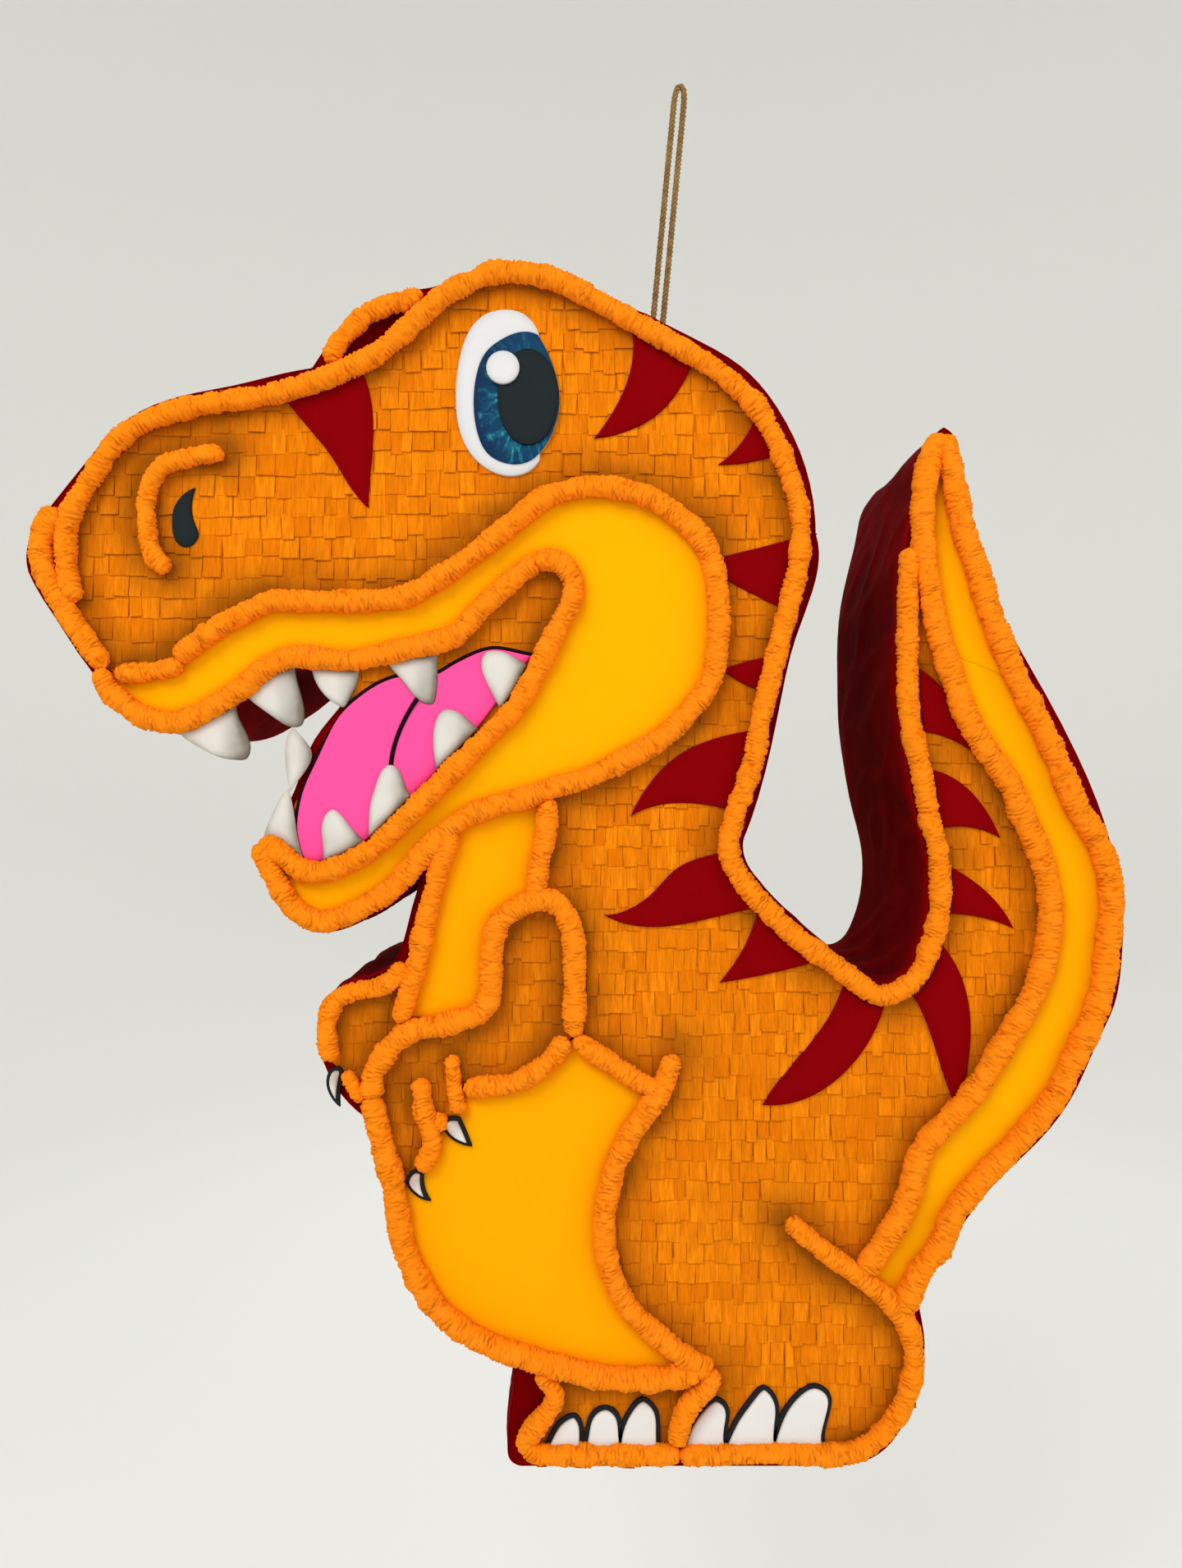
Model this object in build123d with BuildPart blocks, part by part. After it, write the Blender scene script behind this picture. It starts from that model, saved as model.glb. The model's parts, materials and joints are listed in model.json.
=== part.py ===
"""Hanging dinosaur pinata: a corrugated card box in the shape of a cartoon dinosaur.

A front and a back panel are joined by card walls that follow the outline.  The box is
covered in dark red crepe.  The front carries orange paper fringe, yellow foam panels,
gathered crepe rolls along every line, and foam for the eye, teeth, tongue, claws and
stripes.  A doubled jute rope is hitched to a dowel under the crown, and a flap in the
back panel lets the sweets in.

The figure is drawn on a sheet whose zero is the centre of the dowel: x to the right,
z up.  The row frame has its zero at the top of the rope, in the loop, with y to the back.
"""
from build123d import *
import os

os.makedirs("parts", exist_ok=True)

# ---------------------------------------------------------------- driving dimensions
figure_width = 667.0      # snout tip to the tail's widest point, over the cover
figure_height = 733.0     # crown to sole, over the cover
figure_depth = 170.0      # front cover to back cover
board = 4.0               # corrugated card
cover = 1.0               # crepe over felt
sheet_foam = 2.0          # fringe bed and yellow foam
card_foam = 2.0           # stripes, eye, tongue and claws
tooth_foam = 4.0
roll_height = 12.0        # how far a gathered roll stands off its bed
dowel_radius = 4.0
dowel_clearance = 0.05    # in the patches
hitch_clearance = 0.3     # between the hitch and the dowel
patch_side = 42.0
patch_drop = -14.0        # how far the patch's middle lies under the dowel
tail_doubling = 8.0       # two layers of card inside each panel of the tail
rope_radius = 2.0
strand_spacing = 6.8      # centre to centre, which is the nail's size plus one rope
hitch_turns = 3
collar_height = 5.0       # the lashing over the hitch
rope_slot_length = 34.0
rope_slot_width = 12.0
flap_width = 96.0
flap_height = 116.0
flap_gap = 1.0
flap_centre = (30.0, -420.0)
tape_width = 14.0
tape_thickness = 0.5
tape_gap = 0.8
tab_width = 26.0
tab_length = 34.0
smallest_piece = 20.0     # a sliver smaller than this, in square millimetres, is waste
dowel_x, dowel_z = -20.0, -208.0

# The sheet's own size, which the two overall sizes stretch
drawn_width = 667.0
drawn_height = 733.0

front_y = -figure_depth / 2
inside_depth = figure_depth - 2 * (cover + board)


# ---------------------------------------------------------------- helpers
def on_sheet(points):
    """Stretch drawn points to the figure's overall size."""
    across, up = figure_width / drawn_width, figure_height / drawn_height
    return [(x * across, z * up) for x, z in points]


def facing_front(y):
    """The sheet's plane at a depth, looking out of the front."""
    return Plane(origin=(dowel_x, y, dowel_z), x_dir=(1, 0, 0), z_dir=(0, -1, 0))


def region(*lines):
    """The face inside smooth lines, with straight joins between their ends."""
    lines = [on_sheet(line) for line in lines]
    with BuildSketch() as drawn:
        with BuildLine():
            for line, following in zip(lines, lines[1:] + lines[:1]):
                if len(line) == 2:
                    Line(*line)
                else:
                    Spline(*line)
                if line[-1] != following[0]:
                    Line(line[-1], following[0])
        make_face()
    return drawn.sketch


def ribbon(points, width):
    """The band of ground to both sides of a line through the points."""
    points = on_sheet(points)
    with BuildSketch() as strip:
        with BuildLine():
            if len(points) == 2:
                Line(*points)
            else:
                Spline(*points)
        trace(line_width=width)
    return strip.sketch


def joined(*shapes):
    """Several flat shapes as one."""
    with BuildSketch() as whole:
        for shape in shapes:
            add(shape)
    return whole.sketch


def trimmed(shape, *cutters):
    """A flat shape without the ground that the cutters cover."""
    with BuildSketch() as left:
        add(shape)
        for cutter in cutters:
            add(cutter, mode=Mode.SUBTRACT)
    return left.sketch


def shared(shape, ground):
    """The part of a flat shape that lies on the ground."""
    with BuildSketch() as both:
        add(shape)
        add(ground, mode=Mode.INTERSECT)
    return both.sketch


def save(name, piece):
    """Label a finished piece and write it."""
    piece.label = name
    export_step(piece, "parts/" + name + ".step")


def glue_on(name, *layers):
    """Cut flat shapes and stack them on the front: (shape, height off the cover, thickness)."""
    with BuildPart() as piece:
        for shape, height, thickness in layers:
            with BuildSketch(facing_front(front_y - height)):
                add(shape)
            extrude(amount=thickness)
    save(name, piece.part)


# ---------------------------------------------------------------- the outline
# Corner to corner, clockwise from the tip of the upper lip.
snout_edge = [(-384, -136), (-384, -119), (-371, -97), (-351, -72), (-326, -45), (-301, -32),
              (-256, -22), (-232, -16), (-211, -12)]
brow_edge = [(-211, -12), (-203, 0), (-186, 19), (-162, 33), (-131, 39), (-111, 48), (-90, 52),
             (-70, 51), (-48, 42), (-7, 21)]
crown_edge = [(-7, 21), (24, 5), (53, -13), (75, -40), (89, -70), (96, -113)]
nape_edge = [(96, -113), (98, -126), (94, -148), (83, -179), (74, -218), (64, -263), (52, -299)]
gap_edge = [(52, -299), (53, -311), (62, -325), (77, -341), (99, -361), (119, -377), (132, -385)]
gap_end_edge = [(132, -385), (141, -387), (149, -383), (157, -370), (163, -350), (165, -330)]
tail_inner_edge = [(165, -330), (163, -308), (156, -280), (151, -253), (147, -223), (146, -191),
                   (146, -158), (148, -134), (155, -101), (160, -80), (164, -61), (170, -51),
                   (174, -48)]
tail_outer_edge = [(174, -48), (180, -53), (184, -78), (194, -113), (208, -158), (217, -177),
                   (234, -207), (252, -241), (270, -283), (280, -321), (283, -346), (282, -378),
                   (278, -400), (268, -422), (254, -453), (230, -485), (207, -507), (187, -532),
                   (171, -556), (158, -576)]
heel_edge = [(158, -576), (159, -584), (162, -601), (162, -616), (155, -644), (147, -660),
             (134, -674), (118, -680), (105, -681)]
sole_edge = [(105, -681), (-84, -681)]
toe_edge = [(-84, -681), (-91, -676), (-92, -668), (-90, -645), (-88, -621)]
belly_edge = [(-88, -621), (-121, -604), (-141, -588), (-152, -571), (-158, -553), (-162, -533),
              (-165, -508), (-171, -486), (-178, -469)]
arm_edge = [(-178, -469), (-193, -455), (-202, -440), (-207, -425), (-208, -412), (-205, -402),
            (-198, -393), (-187, -386), (-173, -382), (-163, -376), (-157, -366), (-152, -348),
            (-147, -330), (-141, -313)]
jaw_edge = [(-141, -313), (-156, -333), (-171, -344), (-186, -352), (-201, -356), (-212, -355),
            (-222, -349), (-232, -337), (-239, -322), (-242, -309), (-240, -299)]
mouth_edge = [(-240, -299), (-234, -288), (-225, -276), (-219, -262), (-213, -245), (-202, -228),
              (-192, -215), (-191, -198)]
lip_edge = [(-191, -198), (-206, -196), (-221, -196), (-234, -199), (-246, -208), (-261, -218),
            (-278, -228), (-295, -233), (-311, -232), (-326, -223), (-337, -211), (-344, -199),
            (-352, -188), (-365, -168), (-375, -153), (-384, -136)]

walls = {
    "snout_wall": [snout_edge],
    "crown_wall": [brow_edge, crown_edge],
    "nape_wall": [nape_edge],
    "gap_wall": [gap_edge, gap_end_edge],
    "tail_inner_wall": [tail_inner_edge],
    "tail_outer_wall": [tail_outer_edge],
    "heel_wall": [heel_edge],
    "sole_wall": [sole_edge],
    "belly_wall": [toe_edge, belly_edge],
    "arm_wall": [arm_edge],
    "jaw_wall": [jaw_edge, mouth_edge],
    "lip_wall": [lip_edge],
}
outline_edges = [edge for edges in walls.values() for edge in edges]
outline = region(*outline_edges)

# The crepe is glued round the outline, and the card lies inside it
board_shape = trimmed(outline, *[ribbon(edge, 2 * cover) for edge in outline_edges])
board_shape = board_shape.faces().sort_by(SortBy.AREA)[-1]
cover_shape = trimmed(outline, board_shape)
cover_shape = [strip for strip in cover_shape.faces() if strip.area > smallest_piece]

# ---------------------------------------------------------------- the box
with BuildPart() as front_panel:
    with BuildSketch(facing_front(front_y + cover + board)):
        add(board_shape)
    extrude(amount=board)
save("front_panel", front_panel.part)

with BuildSketch() as flap_hole:
    with Locations(flap_centre):
        Rectangle(flap_width + 2 * flap_gap, flap_height + 2 * flap_gap)

with BuildPart() as back_panel:
    with BuildSketch(facing_front(-front_y - cover)):
        add(board_shape)
        add(flap_hole.sketch, mode=Mode.SUBTRACT)
    extrude(amount=board)
save("back_panel", back_panel.part)

taken = []
for name, edges in walls.items():
    bands = [shared(ribbon(edge, 2 * (cover + board)), board_shape) for edge in edges]
    strip = trimmed(joined(*bands), *taken)
    strip = strip.faces().sort_by(SortBy.AREA)[-1]
    taken.append(strip)
    with BuildPart() as wall:
        with BuildSketch(facing_front(inside_depth / 2)):
            add(strip)
        extrude(amount=inside_depth)
        if name == "crown_wall":
            with BuildSketch(Plane.XY.offset(dowel_z)):
                with Locations((dowel_x, 0)):
                    SlotOverall(rope_slot_length, rope_slot_width)
            extrude(amount=60, mode=Mode.SUBTRACT)
    save(name, wall.part)

# ---------------------------------------------------------------- covers
with BuildPart() as side_cover:
    with BuildSketch(facing_front(-front_y)):
        add(cover_shape)
    extrude(amount=figure_depth)
    with BuildSketch(Plane.XY.offset(dowel_z)):
        with Locations((dowel_x, 0)):
            SlotOverall(rope_slot_length, rope_slot_width)
    extrude(amount=60, mode=Mode.SUBTRACT)
save("side_cover", side_cover.part)

with BuildPart() as front_cover:
    with BuildSketch(facing_front(front_y + cover)):
        add(board_shape)
    extrude(amount=cover)
save("front_cover", front_cover.part)

with BuildPart() as back_cover:
    with BuildSketch(facing_front(-front_y)):
        add(board_shape)
        add(flap_hole.sketch, mode=Mode.SUBTRACT)
    extrude(amount=cover)
save("back_cover", back_cover.part)

# ---------------------------------------------------------------- inside the box
with BuildPart() as hanging_dowel:
    with BuildSketch(facing_front(inside_depth / 2)):
        Circle(dowel_radius)
    extrude(amount=inside_depth)
save("hanging_dowel", hanging_dowel.part)

with BuildPart() as dowel_patches:
    for y in (inside_depth / 2, board - inside_depth / 2):
        with BuildSketch(facing_front(y)):
            with Locations((0, patch_drop)):
                Rectangle(patch_side, patch_side)
            add(board_shape, mode=Mode.INTERSECT)
            for strip in taken:
                add(strip, mode=Mode.SUBTRACT)
            Circle(dowel_radius + dowel_clearance, mode=Mode.SUBTRACT)
        extrude(amount=board)
save("dowel_patches", dowel_patches.part)

# The slender tail is doubled in card inside both panels
doubler_line = [(156, -160), (200, -165), (226, -210), (252, -265), (268, -310), (272, -345),
                (266, -392), (246, -440), (214, -478), (182, -510), (150, -545)]
doubler_back = [(150, -545), (138, -520), (146, -470), (168, -425), (178, -385), (177, -330),
                (168, -275), (159, -220), (156, -160)]
doubler_shape = trimmed(region(doubler_line, doubler_back), *taken)
with BuildPart() as tail_doublers:
    for y in (inside_depth / 2, tail_doubling - inside_depth / 2):
        with BuildSketch(facing_front(y)):
            add(doubler_shape)
        extrude(amount=tail_doubling)
save("tail_doublers", tail_doublers.part)

# Card braces hold the two panels apart: (middle, length, turn from upright)
body_braces = [((-20.0, -75.0), 120.0, 90.0), ((112.0, -450.0), 70.0, 30.0),
               ((20.0, -308.0), 80.0, 15.0), ((-20.0, -640.0), 60.0, 0.0)]
tail_braces = [((180.0, -175.0), 44.0, 90.0), ((202.0, -240.0), 76.0, 90.0),
               ((221.0, -310.0), 84.0, 90.0), ((223.0, -380.0), 80.0, 90.0),
               ((205.0, -440.0), 70.0, 90.0), ((166.0, -500.0), 44.0, 90.0)]
with BuildPart() as cross_braces:
    for braces, depth in ((body_braces, inside_depth), (tail_braces, inside_depth - 2 * tail_doubling)):
        with BuildSketch(facing_front(depth / 2)):
            for middle, length, turn in braces:
                with Locations(Location((*on_sheet([middle])[0], 0), (0, 0, turn))):
                    Rectangle(board, length)
        extrude(amount=depth)
save("cross_braces", cross_braces.part)

# ---------------------------------------------------------------- fill flap
flap_top = flap_centre[1] + flap_height / 2
flap_bottom = flap_centre[1] - flap_height / 2

with BuildPart() as fill_flap:
    with BuildSketch(facing_front(-front_y - cover)):
        with Locations(flap_centre):
            Rectangle(flap_width, flap_height)
    extrude(amount=board)
save("fill_flap", fill_flap.part)

with BuildPart() as flap_cover:
    with BuildSketch(facing_front(-front_y)):
        with Locations(flap_centre):
            Rectangle(flap_width, flap_height)
    extrude(amount=cover)
save("flap_cover", flap_cover.part)

with BuildPart() as hinge_tape:
    with BuildSketch(facing_front(-front_y + tape_thickness)):
        with Locations((flap_centre[0], flap_top + tape_gap)):
            Rectangle(flap_width, tape_width, align=(Align.CENTER, Align.MIN))
    extrude(amount=tape_thickness)
save("hinge_tape", hinge_tape.part)

with BuildPart() as flap_tape:
    with BuildSketch(facing_front(-front_y + tape_thickness)):
        with Locations((flap_centre[0], flap_top - tape_gap)):
            Rectangle(flap_width, tape_width, align=(Align.CENTER, Align.MAX))
    extrude(amount=tape_thickness)
save("flap_tape", flap_tape.part)

with BuildPart() as flap_tab:
    with BuildSketch(facing_front(-front_y + cover)):
        with Locations((flap_centre[0], flap_bottom)):
            Rectangle(tab_width, tab_length)
    extrude(amount=cover)
    fillet(flap_tab.edges().filter_by(Axis.Y).group_by(Axis.Z)[0], tab_width / 4)
save("flap_tab", flap_tab.part)

# ---------------------------------------------------------------- rope
# The rope is doubled: up from the hitch, round the nail at the row's zero, and down again.
# Its two strands lean with the line from the dowel to the nail.
rope_line = Vector(-dowel_x, 0, -dowel_z)
along = rope_line.normalized()
beside = Vector(along.Z, 0, -along.X)
hitch_inner = dowel_radius + hitch_clearance
hitch_outer = hitch_inner + 2 * rope_radius
rope_bottom = rope_line.length - hitch_outer - collar_height
half_spacing = strand_spacing / 2
turn_radius = half_spacing - 0.01
rope_route = [beside * -half_spacing - along * rope_bottom,
              beside * -half_spacing + along * half_spacing,
              beside * half_spacing + along * half_spacing,
              beside * half_spacing - along * rope_bottom]

with BuildPart() as hanging_rope:
    with BuildLine() as rope_path:
        FilletPolyline(*rope_route, radius=turn_radius)
    with BuildSketch(Plane(origin=rope_route[0], z_dir=along)):
        Circle(rope_radius)
    sweep(path=rope_path.wires()[0])
save("hanging_rope", hanging_rope.part)
print("rope radii", turn_radius, "length", rope_path.wires()[0].length,
      "volume", hanging_rope.part.volume)

with BuildPart() as rope_hitch:
    with BuildSketch(facing_front(hitch_turns * rope_radius)):
        Circle(hitch_outer)
        Circle(hitch_inner, mode=Mode.SUBTRACT)
    extrude(amount=2 * hitch_turns * rope_radius)
    with BuildSketch(Plane(origin=along * -rope_bottom, x_dir=beside, z_dir=along * -1)):
        SlotOverall(strand_spacing + 2 * rope_radius, 2 * rope_radius + 1)
    extrude(amount=collar_height + rope_radius)
save("rope_hitch", rope_hitch.part)

# ---------------------------------------------------------------- gathered rolls
snout_line = [(-356, -155), (-360, -138), (-361, -113), (-357, -98), (-348, -83), (-331, -58),
              (-311, -44), (-281, -35), (-241, -29), (-211, -21), (-191, -13), (-171, -3),
              (-151, 14), (-131, 32), (-111, 42), (-101, 46), (-81, 46), (-61, 41), (-41, 31),
              (-11, 14), (19, -3), (39, -16), (59, -35), (71, -55), (78, -72), (85, -93),
              (87, -113), (85, -134), (80, -155), (70, -195), (62, -228), (59, -247), (52, -270)]
back_line = [(50, -274), (45, -288), (43, -299), (44, -311), (49, -321), (60, -335), (82, -357),
             (109, -377), (129, -392), (140, -394), (152, -388), (160, -379), (165, -366),
             (170, -350), (172, -332), (170, -303), (166, -290), (164, -281)]
gap_line = [(163, -277), (161, -262), (158, -248), (154, -230), (152, -210), (152, -191),
            (152, -153), (153, -134), (154, -122)]
outer_snout_line = [(-363, -91), (-371, -101), (-377, -113), (-379, -128), (-373, -144),
                    (-361, -163), (-348, -181), (-340, -191)]
lower_snout_line = [(-331, -198), (-322, -198), (-310, -197), (-298, -195), (-290, -191)]
brow_line = [(-198, -2), (-188, 11), (-178, 20), (-166, 26), (-153, 29), (-144, 33)]
nostril_line = [(-265, -64), (-278, -65), (-291, -68), (-301, -71), (-307, -78), (-311, -88),
                (-312, -100), (-311, -113), (-309, -123), (-305, -130), (-298, -135)]
cheek_line = [(-294, -189), (-281, -179), (-267, -169), (-253, -162), (-236, -154), (-219, -154),
              (-184, -154), (-167, -153), (-151, -150), (-131, -138), (-111, -124), (-91, -108),
              (-71, -92), (-61, -88), (-41, -84), (-21, -86), (-1, -93), (19, -108), (27, -117),
              (33, -130), (36, -148), (37, -166), (34, -196), (27, -211), (13, -228), (-1, -240),
              (-21, -251), (-41, -261), (-61, -267), (-81, -274), (-101, -279), (-121, -288),
              (-141, -306), (-161, -328), (-181, -341), (-201, -349), (-211, -348), (-221, -342),
              (-228, -333), (-234, -320), (-236, -311)]
lip_line = [(-338, -200), (-334, -208), (-325, -217), (-315, -224), (-305, -227), (-294, -228),
            (-284, -225), (-274, -220), (-253, -207), (-246, -200), (-236, -193), (-226, -189),
            (-215, -188), (-195, -190), (-184, -190), (-174, -188), (-153, -183), (-131, -178),
            (-121, -173), (-111, -162), (-101, -152), (-81, -135), (-74, -130)]
mouth_line = [(-73, -130), (-65, -129), (-56, -134), (-52, -143), (-53, -154), (-58, -164),
              (-67, -182), (-77, -202), (-88, -220), (-101, -233), (-121, -253), (-141, -273),
              (-158, -290), (-176, -306), (-193, -315), (-202, -318), (-210, -319), (-219, -317),
              (-227, -310), (-235, -306)]
throat_line = [(-125, -295), (-130, -306), (-134, -317), (-138, -334), (-143, -354), (-147, -375),
               (-151, -388), (-154, -399), (-158, -411)]
chest_line = [(-67, -280), (-68, -291), (-70, -303), (-73, -318), (-74, -333)]
far_arm_line = [(-155, -375), (-162, -385), (-173, -390), (-182, -391), (-191, -394), (-197, -398),
                (-201, -406), (-202, -416), (-201, -427), (-199, -434)]
far_finger_line = [(-191, -441), (-184, -452), (-180, -459)]
near_arm_line = [(-52, -419), (-51, -402), (-51, -374), (-52, -359), (-55, -348), (-60, -340),
                 (-69, -336), (-80, -338), (-89, -343), (-97, -350), (-101, -363), (-102, -377),
                 (-102, -390), (-105, -400), (-112, -407), (-123, -410), (-135, -413),
                 (-148, -415), (-157, -420), (-164, -427), (-169, -434), (-174, -443),
                 (-175, -454)]
hand_line = [(-56, -422), (-66, -434), (-75, -441), (-86, -447), (-98, -449), (-109, -450),
             (-118, -452)]
first_finger_line = [(-126, -431), (-125, -441), (-124, -452), (-121, -466)]
second_finger_line = [(-146, -445), (-144, -454), (-143, -465), (-139, -475), (-138, -486),
                      (-142, -495), (-147, -500)]
finger_web_line = [(-135, -466), (-133, -472), (-131, -477)]
front_line = [(-175, -455), (-173, -466), (-170, -477), (-167, -490), (-163, -503), (-160, -520),
              (-158, -532), (-156, -545), (-152, -556), (-146, -568), (-136, -584), (-121, -597),
              (-109, -604), (-96, -610), (-83, -614), (-71, -618), (-56, -622), (-39, -626),
              (-21, -628), (-2, -628), (13, -626), (26, -624)]
hand_to_back_line = [(-49, -422), (-39, -429), (-28, -436), (-18, -443), (-9, -448), (-1, -454)]
belly_back_line = [(10, -431), (6, -441), (2, -452), (-3, -459), (-9, -468), (-16, -477),
                   (-21, -488), (-26, -497), (-29, -509), (-32, -523), (-33, -538), (-32, -550),
                   (-28, -565), (-19, -583), (-8, -595), (4, -605), (15, -614), (26, -620),
                   (32, -624)]
toe_line = [(-73, -624), (-65, -633), (-63, -640), (-69, -650), (-77, -660), (-81, -667),
            (-75, -673), (-63, -674), (-44, -674), (-25, -674), (-6, -674), (9, -674)]
ankle_line = [(32, -626), (30, -633), (22, -640), (16, -649), (13, -658), (11, -667)]
leg_line = [(79, -531), (91, -542), (105, -553), (118, -562), (130, -571), (140, -580),
            (149, -591), (154, -602), (156, -618), (153, -633), (149, -644), (141, -656),
            (131, -666), (120, -672), (105, -674), (70, -673), (32, -674), (17, -674)]
tail_inner_line = [(173, -53), (166, -66), (162, -86), (161, -105), (162, -124), (165, -143),
                   (168, -162), (173, -181), (179, -200), (186, -220), (196, -239), (206, -254),
                   (215, -267), (221, -283), (229, -300), (235, -316), (238, -333), (239, -346),
                   (237, -364), (233, -381), (226, -398), (216, -415), (205, -433), (192, -453),
                   (178, -469), (165, -482), (158, -495), (154, -511), (147, -529), (138, -544),
                   (127, -556)]
tail_outer_line = [(176, -59), (179, -76), (183, -95), (187, -114), (193, -130), (202, -160),
                   (208, -175), (214, -191), (221, -206), (229, -221), (242, -248), (255, -279),
                   (264, -293), (271, -308), (275, -323), (276, -342), (274, -362), (272, -381),
                   (268, -399), (261, -417), (252, -435), (245, -451), (236, -464), (225, -477),
                   (212, -491), (198, -505), (187, -518), (178, -531), (172, -547), (160, -562),
                   (152, -576)]

# ---------------------------------------------------------------- claws
# A claw is a black outline with a white face.  Each is one or two curved sides, root to tip.
hand_claws = [
    [[(-191, -441), (-193, -437), (-197, -437), (-201, -443), (-199, -454), (-193, -461)],
     [(-193, -461), (-193, -452), (-191, -441)]],
    [[(-120, -468), (-125, -467), (-131, -470), (-128, -478), (-121, -483), (-113, -485)],
     [(-113, -485), (-116, -477), (-120, -468)]],
    [[(-142, -501), (-148, -499), (-153, -506), (-149, -513), (-145, -516), (-138, -518)],
     [(-138, -518), (-142, -509), (-142, -501)]],
]
toe_claws = [
    [(-68, -669), (-63, -658), (-58, -650), (-51, -647), (-48, -651), (-47, -660), (-46, -669)],
    [(-45, -669), (-42, -656), (-38, -645), (-32, -642), (-27, -645), (-24, -655), (-22, -669)],
    [(-21, -669), (-19, -656), (-15, -645), (-7, -637), (-2, -641), (1, -654), (2, -669)],
    [(19, -667), (22, -656), (29, -643), (37, -637), (42, -641), (43, -651), (44, -667)],
    [(45, -667), (51, -651), (59, -637), (66, -630), (71, -635), (73, -649), (73, -667)],
    [(74, -667), (78, -652), (86, -636), (97, -629), (103, -633), (104, -645), (103, -667)],
]
claw_border = 2.2
hand_claw_shapes = [region(*sides) for sides in hand_claws]
hand_claw_faces = [trimmed(shape, *[ribbon(side, 2 * claw_border) for side in sides])
                   for shape, sides in zip(hand_claw_shapes, hand_claws)]
toe_claw_shapes = [region(side) for side in toe_claws]
toe_claw_faces = [trimmed(shape, ribbon(side, 2 * claw_border))
                  for shape, side in zip(toe_claw_shapes, toe_claws)]

# ---------------------------------------------------------------- gathered rolls, laid in order
# Node, then the width and line of each roll in it.  A later roll butts on an earlier one.
roll_plan = {
    "crown_roll": [(12.0, snout_line)],
    "back_roll": [(12.0, back_line), (12.5, gap_line)],
    "mouth_roll": [(12.5, mouth_line)],
    "lip_roll": [(12.0, lip_line)],
    "snout_rolls": [(11.0, outer_snout_line), (10.0, lower_snout_line), (10.5, nostril_line),
                    (9.5, brow_line)],
    "cheek_roll": [(12.5, cheek_line)],
    "arm_rolls": [(13.5, near_arm_line), (12.0, hand_line), (9.5, first_finger_line),
                  (12.0, second_finger_line), (9.0, finger_web_line), (11.5, far_arm_line),
                  (9.0, far_finger_line)],
    "neck_rolls": [(12.0, throat_line), (12.5, chest_line)],
    "belly_rolls": [(14.0, front_line), (12.0, hand_to_back_line), (13.0, belly_back_line)],
    "foot_rolls": [(12.0, leg_line), (12.0, toe_line), (12.0, ankle_line)],
    "tail_rolls": [(14.0, tail_outer_line), (14.0, tail_inner_line)],
}
roll_shapes = {}
laid = list(hand_claw_shapes)
for name, plan in roll_plan.items():
    roll_shapes[name] = []
    for width, line in plan:
        footprint = trimmed(ribbon(line, width), *laid)
        laid.append(ribbon(line, width))
        roll_shapes[name] += [strip for strip in footprint.faces() if strip.area > smallest_piece]
    glue_on(name, *[(strip, sheet_foam, roll_height) for strip in roll_shapes[name]])
all_rolls = [strip for strips in roll_shapes.values() for strip in strips]

# ---------------------------------------------------------------- fringe and yellow foam
# The lower edge of the hand, between the belly and the near arm's fringe
hand_edge = [(-163, -503), (-148, -502), (-138, -490), (-131, -477), (-121, -466), (-118, -452)]
arm_over_chest = near_arm_line[7:18]
lip_over_mouth = lip_line[13:]
mouth_front = [(-235, -306), (-229, -292), (-220, -276), (-213, -260), (-205, -242),
               (-195, -226), (-188, -214), (-186, -200)]

jaw_shape = region(lower_snout_line, cheek_line, mouth_line[::-1], lip_line[::-1])
mouth_shape = region(lip_over_mouth, mouth_line, mouth_front)
chest_shape = region(throat_line, arm_over_chest[::-1], chest_line[::-1],
                     [(-67, -270), (-81, -274), (-101, -279), (-121, -288)])
near_arm_shape = region(near_arm_line, front_line[:5], hand_edge, hand_line[::-1])
belly_shape = region(front_line[4:], belly_back_line[-2:1:-1], hand_to_back_line[::-1],
                     hand_line, hand_edge[::-1])
far_arm_shape = region(far_arm_line, far_finger_line, near_arm_line[:17:-1], throat_line[:4:-1])
foot_shape = region(toe_line, ankle_line[::-1], front_line[:14:-1])
tail_shape = region(tail_outer_line, tail_inner_line[::-1])
body_shape = region(snout_line, back_line, gap_line, tail_inner_line[4:], leg_line[4:],
                    ankle_line[::-1], belly_back_line[:1:-1], hand_to_back_line[::-1],
                    near_arm_line[:6], chest_line[::-1], cheek_line[29::-1],
                    lower_snout_line[::-1], outer_snout_line[:3:-1])
tail_seam = [(176, -187), (196, -194), (216, -203)]
seam_width = 0.3

# Laid in this order, and each one butts on those before it
flat_sheets = {
    "jaw_panel": jaw_shape,
    "mouth_fringe": mouth_shape,
    "near_arm_fringe": near_arm_shape,
    "chest_panel": chest_shape,
    "belly_panel": belly_shape,
    "far_arm_fringe": far_arm_shape,
    "foot_fringe": foot_shape,
    "tail_panel": trimmed(tail_shape, ribbon(tail_seam, seam_width)),
    "body_fringe": body_shape,
}
sheets_laid = []
for name, shape in flat_sheets.items():
    pieces = [piece for piece in trimmed(shape, *sheets_laid).faces()
              if piece.area > smallest_piece]
    sheets_laid.append(shape)
    glue_on(name, *[(piece, 0, sheet_foam) for piece in pieces])


def among_rolls(*lines):
    """The face inside the lines, cut back to the rolls round it."""
    cut = trimmed(region(*lines), *all_rolls)
    return [piece for piece in cut.faces() if piece.area > smallest_piece]


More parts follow.
